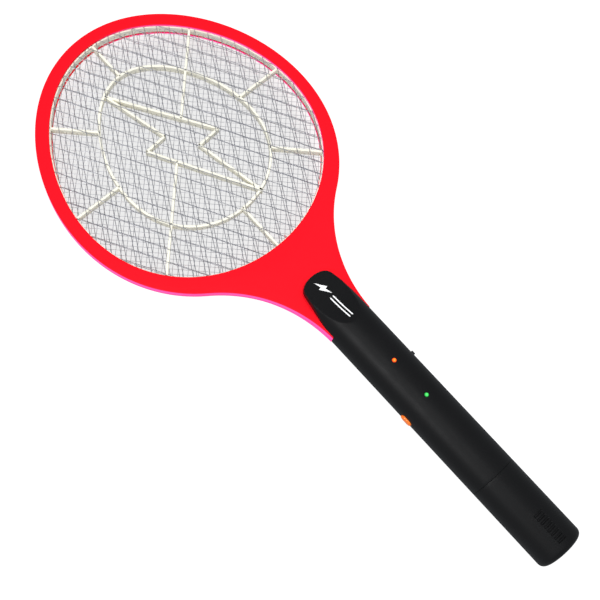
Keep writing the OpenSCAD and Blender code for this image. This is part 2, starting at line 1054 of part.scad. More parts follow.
outer_lead_route = [
  [opening_end - 2.8, solder_y, solder_z],
  [opening_end + clamp_width + 1, solder_y, solder_z],
  [opening_end + 7, solder_y, solder_z - 0.1],
  [tip_x + 8, solder_y, 1.5],
  [tube_x - 8, lead_exit_y, 0.5],
  [tube_x + 8, lead_exit_y, 0],
  [board_x - 1, lead_exit_y, -0.4],
  [board_x + 3, 6, board_pad_z]
];
centre_lead_route = [
  [opening_end + clamp_width + lead_r, -6, 0],
  [opening_end + 10, -7, 0.4],
  [tip_x + 14, -lead_exit_y, 0.6],
  [tube_x - 4, -lead_exit_y, 0],
  [tube_x + 9, -lead_exit_y, 0],
  [board_x - 1, -lead_exit_y, -0.4],
  [board_x + 3, -5, board_pad_z]
];
red_lead_route = [
  [board_x + board_length - 3, -5, board_pad_z],
  [board_x + board_length + 2, -6, 0],
  [back_screw_x, -7, 2],
  [bulkhead_x - 6, -4, 5],
  [bulkhead_x - 1, -1.5, bulkhead_top - 1.6],
  [bulkhead_x + bulkhead_t + 1.2, -1.4, bulkhead_top - 2],
  [bulkhead_x + bulkhead_t + 1.4, -cell_y + 4, 7],
  [bulkhead_x + bulkhead_t + plate_t + lead_r, -cell_y + 2, 4.4]
];
black_lead_route = [
  [board_x + board_length - 3, 5, board_pad_z],
  [board_x + board_length + 2, 6, 0],
  [back_screw_x, 7, 2],
  [bulkhead_x - 6, 4, 5],
  [bulkhead_x - 1, 1.5, bulkhead_top - 1.6],
  [bulkhead_x + bulkhead_t + 2.6, 1.8, bulkhead_top - 1.8],
  [bulkhead_x + bulkhead_t + 2, cell_y - 4, 7.6],
  [bulkhead_x + bulkhead_t + plate_t + lead_r, cell_y - 2, 4.7]
];

module outer_mesh_lead() {
  color("crimson")
    tube(smooth(outer_lead_route, 3), lead_r);
}

module centre_mesh_lead() {
  color("gold")
    tube(smooth(centre_lead_route, 3), lead_r);
}

module battery_lead_red() {
  color("red")
    tube(smooth(red_lead_route, 3), lead_r);
}

module battery_lead_black() {
  color("black")
    tube(smooth(black_lead_route, 3), lead_r);
}

// Moves a piece from the head's centre to the middle of the footprint, resting on z = 0
module place() {
  translate([-origin_x, 0, handle_r - rest_cut])
    children();
}

place() front_frame();
place() rear_frame();
place() front_grid();
place() rear_grid();
place() front_mesh();
place() centre_mesh();
place() rear_mesh();
place() frame_screws();
place() front_shell();
place() rear_shell();
place() shell_screws();
place() emblem();
place() battery_door();
place() red_led();
place() green_led();
place() led_legs();
place() push_button();
place() switch_plunger();
place() tact_switch();
place() slide_knob();
place() slide_switch();
place() circuit_board();
place() transformer_core();
place() transformer_winding();
place() storage_capacitor();
place() smoothing_capacitor();
place() diodes();
place() resistors();
place() transistor();
place() battery_cells();
place() cell_contacts();
place() contact_springs();
place() bridge_contact();
place() outer_mesh_lead();
place() centre_mesh_lead();
place() battery_lead_red();
place() battery_lead_black();
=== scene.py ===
"""Electric racket fly swatter lying on its back on a pale studio floor."""

import math

import bmesh
import bpy
import numpy as np
from mathutils import Matrix, Vector


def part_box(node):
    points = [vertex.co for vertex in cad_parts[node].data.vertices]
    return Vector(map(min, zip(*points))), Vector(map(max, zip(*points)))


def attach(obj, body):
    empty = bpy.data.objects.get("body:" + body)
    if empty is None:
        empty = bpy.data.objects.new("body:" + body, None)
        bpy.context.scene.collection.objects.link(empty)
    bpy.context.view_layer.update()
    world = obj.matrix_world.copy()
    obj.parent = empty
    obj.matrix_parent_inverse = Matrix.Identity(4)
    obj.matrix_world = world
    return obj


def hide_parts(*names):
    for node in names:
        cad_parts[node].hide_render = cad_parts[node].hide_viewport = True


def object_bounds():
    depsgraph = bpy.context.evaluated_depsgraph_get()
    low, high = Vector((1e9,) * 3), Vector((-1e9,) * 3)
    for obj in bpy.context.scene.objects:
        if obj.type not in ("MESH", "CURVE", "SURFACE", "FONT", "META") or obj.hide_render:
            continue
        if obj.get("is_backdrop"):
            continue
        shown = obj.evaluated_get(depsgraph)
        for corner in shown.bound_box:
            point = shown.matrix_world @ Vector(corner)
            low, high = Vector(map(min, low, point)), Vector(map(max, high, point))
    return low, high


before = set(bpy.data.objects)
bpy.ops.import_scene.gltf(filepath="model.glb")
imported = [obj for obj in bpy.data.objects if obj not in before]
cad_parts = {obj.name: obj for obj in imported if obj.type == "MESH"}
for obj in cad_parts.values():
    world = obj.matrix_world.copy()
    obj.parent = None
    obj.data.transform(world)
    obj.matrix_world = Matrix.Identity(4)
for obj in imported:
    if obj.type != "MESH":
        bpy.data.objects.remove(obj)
cad_low, cad_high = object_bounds()

MM = 0.001
rng = np.random.default_rng(7)

# ---------------- sizes from the frame


def span(node):
    """Lowest and highest corner of a CAD node in millimetres."""
    low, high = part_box(node)
    return np.array(low) / MM, np.array(high) / MM


mesh_low, mesh_high = span("front_mesh")
frame_low, frame_high = span("front_frame")
rear_low, rear_high = span("rear_shell")
front_low, front_high = span("front_shell")
ring_grid_low, ring_grid_high = span("front_grid")

CLAMP = 2.0
TANG = 20.0
SHELL_WALL = 2.0
FRAME_WALL = 1.6
RIM_NEAR = 13.7
FLARE_RADIUS = 100.0
FLARE_SLOPE = math.radians(2.5)
OPENING_CENTRE = 4.2
OPENING_EGG = 0.1
MESH_PITCH = 8.8
FINE_PITCH = 3.5
RIB = 1.7
REST_CUT = 0.5
GAP = 0.05
FRAME_SCREW_OFFSET = CLAMP + 2.35
FRAME_SCREW_ANGLES = np.radians([35, 95, 150, 210, 265, 325])
SCREW_BORE_R, SCREW_BOSS_R = 1.06, 2.1
LAMP_R = 1.5
BUTTON_LENGTH, BUTTON_HEIGHT = 9.0, 5.6
BUTTON_ROOM = 0.6
KNOB_TRAVEL, KNOB_ROOM = 2.0, 0.4
CELL_R = 7.1
RIB_EDGE_R = 0.35
SEAM_DEPTH, DOOR_SEAM_DEPTH = 0.22, 0.05
BUTT_EDGE, BUTT_WALL = 4.0, 1.8
THUMB_RIBS, THUMB_PITCH, THUMB_DEPTH, THUMB_HALF_WIDTH = 7, 2.96, 0.7, 3.5
GROOVE_SHARE = 0.56
FRAME_SCREW_HOLE_R, HANDLE_SCREW_HOLE_R = 1.75, 2.9
NO_LIMIT = 99.0
SHARP_ANGLE = 35.0

head_x = (mesh_low[0] + mesh_high[0]) / 2 - OPENING_CENTRE
axis_z = frame_low[2]
half_head = frame_high[2] - axis_z
grid_base = ring_grid_low[2] - axis_z
grid_top = ring_grid_high[2] - axis_z
tube_x = frame_high[0] - TANG - head_x
tip_x = front_low[0] - head_x
door_x = front_high[0] - head_x
butt_x = rear_high[0] - head_x
far_x = frame_low[0] - head_x
handle_r = (rear_high[1] - rear_low[1]) / 2
bore_r = handle_r - SHELL_WALL


def centre_of(node):
    """Middle of a CAD node, measured from the head's spoke centre on the mid-plane."""
    low, high = span(node)
    return (low + high) / 2 - np.array([head_x, 0, axis_z])


# ---------------- ovals


def widest(egg):
    """Largest value of sin(t) * (1 + egg * cos(t)), the half width of a unit oval."""
    t = np.linspace(0, np.pi, 4001)
    return (np.sin(t) * (1 + egg * np.cos(t))).max()


opening = (
    (mesh_high[0] - mesh_low[0]) / 2 - CLAMP,
    ((mesh_high[1] - mesh_low[1]) / 2 - CLAMP) / widest(OPENING_EGG),
    OPENING_EGG,
    OPENING_CENTRE,
)
rim_far = OPENING_CENTRE - opening[0] - far_x
rim_outside = (
    opening[0] + (rim_far + RIM_NEAR) / 2,
    (frame_high[1] - frame_low[1]) / 2 / widest(OPENING_EGG * 0.7),
    OPENING_EGG * 0.7,
    OPENING_CENTRE + (RIM_NEAR - rim_far) / 2,
)
ring = (65.6, 54.2, 0.158, 1.6)


def oval(shape, t, grow=0.0):
    """Points of an egg-shaped oval, moved outwards along its normal by grow.

    x = centre + a cos t and y = b sin t (1 + egg cos t), with t in radians.
    """
    a, b, egg, centre = shape
    t = np.asarray(t, float)
    point = np.stack([centre + a * np.cos(t), b * np.sin(t) * (1 + egg * np.cos(t))], -1)
    along = np.stack([-a * np.sin(t), b * (np.cos(t) + egg * np.cos(2 * t))], -1)
    normal = np.stack([along[..., 1], -along[..., 0]], -1)
    normal /= np.linalg.norm(normal, axis=-1, keepdims=True)
    return point + np.asarray(grow)[..., None] * normal


def inside_oval(shape, x, y, grow=0.0):
    """True where a point lies inside the oval grown by about grow."""
    a, b, egg, centre = shape
    c = (x - centre) / (a + grow)
    s = np.sqrt(np.clip(1 - c * c, 0, 1))
    return (np.abs(c) < 1) & (np.abs(y) < (b + grow) * s * (1 + egg * c))


# ---------------- mesh helpers


def full_turn(steps):
    """Evenly spaced angles of a full turn, in radians."""
    return np.arange(steps) / steps * 2 * np.pi


def full(points, value):
    """One copy of the value for each point."""
    return np.full(len(points), float(value))


def quads(rows, columns, wrap_rows=False, wrap_columns=False, start=0):
    """Quad indices of a grid whose points are stored row by row."""
    i = np.arange(rows if wrap_rows else rows - 1)
    j = np.arange(columns if wrap_columns else columns - 1)
    i, j = np.meshgrid(i, j, indexing="ij")
    n, m = (i + 1) % rows, (j + 1) % columns
    corner = [i * columns + j, n * columns + j, n * columns + m, i * columns + m]
    return np.stack(corner, -1).reshape(-1, 4) + start


def to_row_frame(points):
    """Millimetres from the head's centre to metres in the row frame."""
    return (np.asarray(points, float) + np.array([head_x, 0, axis_z])) * MM


def add_object(name, data):
    """New object in the scene."""
    obj = bpy.data.objects.new(name, data)
    bpy.context.scene.collection.objects.link(obj)
    return obj


def build(name, points, faces, smooth=SHARP_ANGLE, weld=True):
    """Puts points and faces into a mesh object, merges doubles and sets smooth edges."""
    mesh = bpy.data.meshes.new(name)
    points = to_row_frame(np.asarray(points, float).reshape(-1, 3))
    mesh.from_pydata(points.tolist(), [], [list(map(int, f)) for f in faces])
    obj = add_object(name, mesh)
    if weld:
        weld_mesh(mesh)
    mesh.shade_smooth()
    mesh.set_sharp_from_angle(angle=math.radians(smooth))
    return obj


def weld_mesh(mesh, distance=2e-6):
    """Merges vertices closer than the distance and drops the faces that collapse."""
    work = bmesh.new()
    work.from_mesh(mesh)
    bmesh.ops.remove_doubles(work, verts=work.verts, dist=distance)
    bmesh.ops.dissolve_degenerate(work, edges=work.edges, dist=distance / 4)
    work.to_mesh(mesh)
    work.free()


class Parts:
    """Collects several closed surfaces into one mesh."""

    def __init__(self):
        self.points, self.faces, self.count = [], [], 0

    def add(self, points, faces):
        """Adds points and faces whose indices count from the first of these points."""
        points = np.asarray(points, float).reshape(-1, 3)
        self.points.append(points)
        self.faces.extend((np.asarray(f) + self.count).tolist() for f in faces)
        self.count += len(points)

    def grid(self, points, wrap_rows=False, wrap_columns=False, flip=False, caps=False):
        """Adds a grid of points; caps closes the first and last row with one face each."""
        rows, columns = points.shape[:2]
        faces = list(quads(rows, columns, wrap_rows, wrap_columns))
        if caps:
            faces.append(np.arange(columns))
            faces.append((rows - 1) * columns + np.arange(columns)[::-1])
        if flip:
            faces = [np.asarray(f)[::-1] for f in faces]
        self.add(points, faces)

    def build(self, name, **options):
        """Makes one mesh object of everything added."""
        return build(name, np.concatenate(self.points), self.faces, **options)


def thick_skin(parts, outer, inner, flip=False):
    """Closed wall between two grids of the same size: both skins and the four edges."""
    rows, columns = outer.shape[:2]
    body = np.stack([outer, inner])
    top = quads(rows, columns)
    under = quads(rows, columns, start=rows * columns)[:, ::-1]
    i, j = np.arange(rows - 1), np.arange(columns - 1)
    shift = rows * columns
    sides = []
    for a, step, turn in (
        (i * columns, columns, 1),
        (i * columns + columns - 1, columns, -1),
        (j, 1, -1),
        ((rows - 1) * columns + j, 1, 1),
    ):
        b = a + step
        sides.append(np.stack([a, a + shift, b + shift, b], -1)[:, ::turn])
    faces = np.concatenate([top, under, *sides])
    if flip:
        faces = faces[:, ::-1]
    parts.add(body, list(faces))


def tube(parts, path, radius, sides=8, closed=False):
    """Round tube along a path: a circle in the plane across the path at each point."""
    path = np.asarray(path, float)
    if closed:
        along = np.roll(path, -1, 0) - np.roll(path, 1, 0)
    else:
        along = np.gradient(path, axis=0)
    along /= np.linalg.norm(along, axis=1, keepdims=True)
    side = np.cross(along, [0.13, 0.31, 0.94])
    side /= np.linalg.norm(side, axis=1, keepdims=True)
    up = np.cross(side, along)
    a = full_turn(sides)
    circle = np.cos(a)[:, None, None] * side + np.sin(a)[:, None, None] * up
    points = (path + radius * circle).transpose(1, 0, 2)
    parts.grid(points, wrap_rows=closed, wrap_columns=True, caps=not closed)


def revolve(parts, profile, centre, axis="z", steps=48, closed=False):
    """Surface of revolution of (radius, height) pairs about an axis through the centre."""
    profile = np.asarray(profile, float)
    a = full_turn(steps)
    r, h = profile[:, :1], profile[:, 1:]
    c, s = r * np.cos(a), r * np.sin(a)
    h = np.broadcast_to(h, c.shape)
    points = np.stack({"z": (c, s, h), "x": (h, c, s)}[axis], -1) + np.asarray(centre, float)
    parts.grid(points, wrap_rows=closed, wrap_columns=True, caps=not closed, flip=True)


def arc(centre, radius, start, end, steps):
    """(u, v) points of an arc, angles in degrees."""
    a = np.radians(np.linspace(start, end, steps))
    return np.stack([centre[0] + radius * np.cos(a), centre[1] + radius * np.sin(a)], -1)


def stadium(length, height, inset, steps=12):
    """Outline of a slot with round ends, moved inwards by inset."""
    r = height / 2 - inset
    half = (length - height) / 2
    right = arc((half, 0), r, -90, 90, steps)
    left = arc((-half, 0), r, 90, 270, steps)
    return np.concatenate([right, left])


def rounded_box(length, height, radius, inset, steps=6):
    """Outline of a rectangle with round corners, moved inwards by inset."""
    a, b = length / 2 - radius, height / 2 - radius
    r = max(radius - inset, 0.01)
    shift = max(inset - radius, 0)
    corners = [(a, -b, -90), (a, b, 0), (-a, b, 90), (-a, -b, 180)]
    return np.concatenate([
        arc((x - np.sign(x) * shift, y - np.sign(y) * shift), r, start, start + 90, steps)
        for x, y, start in corners
    ])


def cut(obj, cutters):
    """Subtracts closed cutter objects for good and removes them."""
    for cutter in cutters:
        modifier = obj.modifiers.new("cut", "BOOLEAN")
        modifier.operation = "DIFFERENCE"
        modifier.solver = "EXACT"
        modifier.object = cutter
    graph = bpy.context.evaluated_depsgraph_get()
    mesh = bpy.data.meshes.new_from_object(obj.evaluated_get(graph))
    obj.modifiers.clear()
    obj.data = mesh
    mesh.set_sharp_from_angle(angle=math.radians(SHARP_ANGLE))
    for cutter in cutters:
        bpy.data.objects.remove(cutter)


def finish_piece(obj, body, slot, *nodes):
    """Gives a piece the material of its slot and its CAD body, and hides the CAD nodes that it
    stands for.
    """
    obj.data.materials.clear()
    obj.data.materials.append(MATERIALS[slot])
    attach(obj, body)
    if nodes:
        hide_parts(*nodes)
    return obj


# ---------------- shader node groups


def new_group(name, inputs):
    """Empty shader node group that gives a tint, a roughness and a height for a bump."""
    kinds = {"f": "NodeSocketFloat", "c": "NodeSocketColor"}
    group = bpy.data.node_groups.new(name, "ShaderNodeTree")
    for title, kind, value in inputs:
        socket = group.interface.new_socket(title, in_out="INPUT", socket_type=kinds[kind])
        socket.default_value = value
    for title, kind in (("Tint", "c"), ("Roughness", "f"), ("Height", "f")):
        group.interface.new_socket(title, in_out="OUTPUT", socket_type=kinds[kind])
    return group, group.nodes.new("NodeGroupInput"), group.nodes.new("NodeGroupOutput")


def add_node(tree, kind, **settings):
    """New node with its sockets or properties set by name."""
    node = tree.nodes.new(kind)
    for key, value in settings.items():
        if key in node.inputs:
            node.inputs[key].default_value = value
        else:
            setattr(node, key, value)
    return node


def math_node(tree, operation, a, b=None):
    """Math node whose two inputs are links or numbers."""
    node = tree.nodes.new("ShaderNodeMath")
    node.operation = operation
    for socket, value in zip(node.inputs, (a, b)):
        if isinstance(value, (int, float)):
            socket.default_value = value
        elif value is not None:
            tree.links.new(value, socket)
    return node.outputs[0]


def distance(tree, middle, scale):
    """Distance of a shaded point from the middle, as a share of a scale in each direction."""
    place = add_node(tree, "ShaderNodeTexCoord")
    shift = add_node(tree, "ShaderNodeMapping", vector_type="TEXTURE")
    shift.inputs["Location"].default_value = middle
    shift.inputs["Scale"].default_value = scale
    reach = add_node(tree, "ShaderNodeVectorMath", operation="LENGTH")
    tree.links.new(place.outputs["Object"], shift.inputs["Vector"])
    tree.links.new(shift.outputs[0], reach.inputs[0])
    return reach.outputs["Value"]


def math_chain(tree, value, *steps):
    """Applies math operations with one more operand each, one after the other."""
    for operation, operand in steps:
        value = math_node(tree, operation, value, operand)
    return value


def noise(tree, **settings):
    """Noise in the object's coordinates."""
    place = add_node(tree, "ShaderNodeTexCoord")
    node = add_node(tree, "ShaderNodeTexNoise", **settings)
    tree.links.new(place.outputs["Object"], node.inputs["Vector"])
    return node


def make_moulding_group():
    """Moulded plastic: fine spark texture, broad flow marks and a little dust.

    Tint is the base colour made slightly lighter or darker by the flow marks, Roughness
    rises with the texture, and Height feeds a bump.
    """
    group, source, result = new_group(
        "moulded_surface",
        [("Colour", "c", (0.5, 0.5, 0.5, 1)), ("Shade", "f", 0.06), ("Grain", "f", 2500.0),
         ("Rough", "f", 0.4), ("Rough Spread", "f", 0.08)],
    )
    link = group.links.new
    grain = noise(group, Detail=2.0, Roughness=0.6)
    link(source.outputs["Grain"], grain.inputs["Scale"])
    flow = noise(group, Scale=26.0, Detail=4.0, Distortion=0.6)
    smudge = noise(group, Scale=95.0, Detail=5.0, Roughness=0.7)
    gain = math_chain(group, flow.outputs["Fac"], ("SUBTRACT", 0.5),
                      ("MULTIPLY", source.outputs["Shade"]), ("ADD", 1.0))
    tint = add_node(group, "ShaderNodeVectorMath", operation="SCALE")
    link(source.outputs["Colour"], tint.inputs[0])
    link(gain, tint.inputs["Scale"])
    link(tint.outputs[0], result.inputs["Tint"])
    rough = math_chain(group, smudge.outputs["Fac"], ("ADD", grain.outputs["Fac"]),
                       ("SUBTRACT", 1.0), ("MULTIPLY", source.outputs["Rough Spread"]),
                       ("ADD", source.outputs["Rough"]))
    link(rough, result.inputs["Roughness"])
    link(grain.outputs["Fac"], result.inputs["Height"])
    return group


def make_metal_group():
    """Drawn or rolled metal with cloudy tarnish."""
    group, source, result = new_group(
        "drawn_metal",
        [("Colour", "c", (0.6, 0.6, 0.6, 1)), ("Tarnish", "c", (0.3, 0.28, 0.25, 1)),
         ("Tarnish Amount", "f", 0.2), ("Rough", "f", 0.3), ("Scale", "f", 300.0)],
    )
    link = group.links.new
    cloud = noise(group, Detail=4.0)
    link(source.outputs["Scale"], cloud.inputs["Scale"])
    mask = math_node(group, "MULTIPLY", cloud.outputs["Fac"], source.outputs["Tarnish Amount"])
    mix = add_node(group, "ShaderNodeMix", data_type="RGBA")
    link(mask, mix.inputs["Factor"])
    link(source.outputs["Colour"], mix.inputs[6])
    link(source.outputs["Tarnish"], mix.inputs[7])
    link(mix.outputs[2], result.inputs["Tint"])
    rough = math_chain(group, cloud.outputs["Fac"], ("MULTIPLY", 0.2),
                       ("ADD", source.outputs["Rough"]))
    link(rough, result.inputs["Roughness"])
    link(cloud.outputs["Fac"], result.inputs["Height"])
    return group


MOULDING = make_moulding_group()
METAL = make_metal_group()


def shader_base(name):
    """New material with its node tree and its main shader."""
    material = bpy.data.materials.new(name)
    material.use_nodes = True
    tree = material.node_tree
    return material, tree, tree.nodes["Principled BSDF"]


def grouped_material(name, kind, bump, values):
    """Material whose colour, roughness and bump come from a shared group's values."""
    material, tree, shader = shader_base(name)
    group = add_node(tree, "ShaderNodeGroup")
    group.node_tree = kind
    for title, value in values.items():
        group.inputs[title].default_value = value
    relief = add_node(tree, "ShaderNodeBump", Strength=1.0, Distance=bump * MM)
    for output, socket in (
        (group.outputs["Tint"], shader.inputs["Base Color"]),
        (group.outputs["Roughness"], shader.inputs["Roughness"]),
        (group.outputs["Height"], relief.inputs["Height"]),
        (relief.outputs[0], shader.inputs["Normal"]),
    ):
        tree.links.new(output, socket)
    return material, shader


def plastic(name, colour, rough=0.4, spread=0.08, shade=0.06, grain=2500.0, bump=0.02,
            specular=0.4, coat=0.0):
    """Moulded plastic made from the shared group, with its own values."""
    material, shader = grouped_material(name, MOULDING, bump, {
        "Colour": (*colour, 1), "Shade": shade, "Grain": grain, "Rough": rough,
        "Rough Spread": spread,
    })
    shader.inputs["Specular IOR Level"].default_value = specular
    shader.inputs["Coat Weight"].default_value = coat
    shader.inputs["Coat Roughness"].default_value = 0.08
    return material


def metal(name, colour, rough=0.3, tarnish=0.25, scale=300.0, bump=0.01):
    """Bare metal made from the shared group."""
    material, shader = grouped_material(name, METAL, bump, {
        "Colour": (*colour, 1), "Tarnish Amount": tarnish, "Rough": rough, "Scale": scale,
    })
    shader.inputs["Metallic"].default_value = 1.0
    return material


def colour_stops(ramp, stops):
    """Sets a colour ramp's stops from (position, colour) pairs."""
    elements = ramp.color_ramp.elements
    for element, (position, colour) in zip(elements, stops):
        element.position, element.color = position, (*colour, 1)
    for position, colour in stops[2:]:
        elements.new(position).color = (*colour, 1)


def lamp_lens(name, core, edge, node, strength):
    """Lit lamp: bright in the middle of the dome and deeper in colour at its edge."""
    material, tree, shader = shader_base(name)
    middle = centre_of(node)
    reach = distance(tree, to_row_frame([middle[0], middle[1], handle_r]), [1.7 * MM] * 3)
    ramp = add_node(tree, "ShaderNodeValToRGB")
    tree.links.new(reach, ramp.inputs[0])
    colour_stops(ramp, [(0.25, core), (0.95, edge)])
    tree.links.new(ramp.outputs[0], shader.inputs["Emission Color"])
    tree.links.new(ramp.outputs[0], shader.inputs["Base Color"])
    shader.inputs["Emission Strength"].default_value = strength
    shader.inputs["Roughness"].default_value = 0.12
    return material


def cell_sleeve_material():
    """Printed sleeve: two colour zones and a silver line along the cell, with a soft gloss."""
    material, tree, shader = shader_base("cell sleeve")
    low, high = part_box("battery_cells")
    place = add_node(tree, "ShaderNodeTexCoord")
    split = add_node(tree, "ShaderNodeSeparateXYZ")
    tree.links.new(place.outputs["Object"], split.inputs[0])
    share = math_node(tree, "SUBTRACT", split.outputs["X"], float(low[0]))
    share = math_node(tree, "DIVIDE", share, float(high[0] - low[0]))
    ramp = add_node(tree, "ShaderNodeValToRGB")
    ramp.color_ramp.interpolation = "CONSTANT"
    tree.links.new(share, ramp.inputs[0])
    stops = [(0.0, (0.02, 0.07, 0.22)), (0.3, (0.5, 0.5, 0.52)), (0.33, (0.02, 0.09, 0.3)),
             (0.72, (0.5, 0.5, 0.52)), (0.75, (0.02, 0.07, 0.22))]
    colour_stops(ramp, stops)
    tree.links.new(ramp.outputs[0], shader.inputs["Base Color"])
    shader.inputs["Roughness"].default_value = 0.22
    shader.inputs["Coat Weight"].default_value = 0.4
    return material


def add_painted_side_light(material, colour):
    """Painted light on the side walls that face -y, an emission in place of the pink light they
    catch: colour * clamp(-1.3 ny) * clamp(1 - 1.5 |nz|).
    """
    tree = material.node_tree
    shader = tree.nodes["Principled BSDF"]
    place = add_node(tree, "ShaderNodeTexCoord")
    split = add_node(tree, "ShaderNodeSeparateXYZ")
    tree.links.new(place.outputs["Normal"], split.inputs[0])
    near = math_chain(tree, split.outputs["Y"], ("MULTIPLY", -1.3), ("MAXIMUM", 0.0),
                      ("MINIMUM", 1.0))
    tilt = math_chain(tree, split.outputs["Z"], ("ABSOLUTE", None), ("MULTIPLY", -1.5),
                      ("ADD", 1.0), ("MAXIMUM", 0.0))
    tint = add_node(tree, "ShaderNodeVectorMath", operation="SCALE")
    tint.inputs[0].default_value = colour
    tree.links.new(math_node(tree, "MULTIPLY", near, tilt), tint.inputs["Scale"])
    tree.links.new(tint.outputs[0], shader.inputs["Emission Color"])
    shader.inputs["Emission Strength"].default_value = 1.0


MATERIALS = {
    "red_plastic": plastic("red frame plastic", (0.95, 0.004, 0.014), rough=0.45, shade=0.04,
                           specular=0.12, bump=0.012),
    "ivory_plastic": plastic("ivory grid plastic", (0.9, 0.87, 0.74), rough=0.45, shade=0.12,
                             bump=0.012),
    "black_plastic": plastic("black shell plastic", (0.004, 0.004, 0.0044), rough=0.46,
                             spread=0.16, shade=0.4, grain=2200.0, bump=0.03, specular=0.26),
    "component_plastic": plastic("black switch plastic", (0.012, 0.012, 0.013), rough=0.3,
                                 specular=0.5),
    "orange_plastic": plastic("orange button plastic", (1.0, 0.2, 0.012), rough=0.25, coat=0.2),
    "white_print": plastic("white print", (0.9, 0.9, 0.9), rough=0.5, shade=0.04),
    "board_laminate": plastic("board solder mask", (0.02, 0.13, 0.04), rough=0.25, shade=0.3,
                              coat=0.3),
    "coil_tape": plastic("coil tape", (0.75, 0.5, 0.06), rough=0.3, shade=0.2, coat=0.3),
    "ferrite": plastic("ferrite", (0.03, 0.03, 0.032), rough=0.55, shade=0.3, bump=0.05),
    "capacitor_red": plastic("dipped capacitor", (0.42, 0.03, 0.02), rough=0.2, shade=0.15,
                             coat=0.5),
    "capacitor_sleeve": plastic("capacitor sleeve", (0.015, 0.02, 0.08), rough=0.25, coat=0.3),
    "resistor_body": plastic("resistor lacquer", (0.5, 0.34, 0.17), rough=0.35, shade=0.2),
    "wire_red": plastic("red wire insulation", (0.6, 0.015, 0.012)),
    "wire_yellow": plastic("yellow wire insulation", (0.8, 0.5, 0.02)),
    "wire_black": plastic("black wire insulation", (0.012, 0.012, 0.012)),
    "mesh_steel": metal("mesh wire", (0.66, 0.66, 0.72), rough=0.35, scale=220.0),
    "tinned_metal": metal("tinned metal", (0.72, 0.7, 0.66), rough=0.28, tarnish=0.3),
    "screw_steel": metal("zinc plated screw", (0.62, 0.62, 0.64), tarnish=0.35, scale=700.0),
    "red_lens": lamp_lens("red lamp lens", (1.0, 0.25, 0.02), (0.8, 0.012, 0.004), "red_led",
                          0.8),
    "green_lens": lamp_lens("green lamp lens", (0.08, 0.72, 0.14), (0.005, 0.22, 0.03),
                            "green_led", 0.55),
    "cell_sleeve": cell_sleeve_material(),
}
# Painted light: a pink emission on the red frame's side walls that face -y.
add_painted_side_light(MATERIALS["red_plastic"], (0.7, 0.1, 0.5))

# ---------------- red frame halves


flare_middle = np.array([
    tube_x + FLARE_RADIUS * math.sin(FLARE_SLOPE),
    handle_r + FLARE_RADIUS * math.cos(FLARE_SLOPE),
])


def flare_start():
    """Where the flare circle leaves the rim: the oval point nearest its centre."""
    t = np.radians(np.arange(15, 90, 0.1))
    return t[np.linalg.norm(oval(rim_outside, t) - flare_middle, axis=1).argmin()]


def frame_outline():
    """Outside of the frame with its inward normals, and the partner points on the opening.

    The rim follows the outer oval, then an arc of the flare radius runs out along the
    handle's side on each side, with a small round corner at the end of the neck.
    """
    touch = flare_start()
    end_x = tube_x - 0.1
    last, middle = math.radians(6), math.radians(4.5)
    rim = np.linspace(touch, 2 * np.pi - touch, 200)
    outside = oval(rim_outside, rim)
    start = outside[0] - flare_middle
    first = math.atan2(start[1], start[0]) % (2 * np.pi)
    angles = np.linspace(first, 1.5 * np.pi - FLARE_SLOPE, 40)[1:]
    upper = flare_middle + FLARE_RADIUS * np.stack([np.cos(angles), np.sin(angles)], -1)
    upper[:, 0] = np.minimum(upper[:, 0], end_x)
    corner = np.array([[end_x, y] for y in (-14.5, -10, -5, 0, 5, 10, 14.5)])
    outside = np.concatenate([outside, upper * [1, -1], corner, upper[::-1]])
    count = len(upper)
    down = np.linspace(2 * np.pi - touch, 2 * np.pi - last, count + 1)[1:]
    across = np.linspace(2 * np.pi - middle, 2 * np.pi + middle, len(corner))
    up = np.linspace(2 * np.pi + last, 2 * np.pi + touch, count + 1)[:-1]
    partner = np.concatenate([rim, down, across, up])
    along = np.roll(outside, -1, 0) - np.roll(outside, 1, 0)
    normal = np.stack([-along[:, 1], along[:, 0]], -1)
    normal /= np.linalg.norm(normal, axis=1, keepdims=True)
    return outside, normal, partner


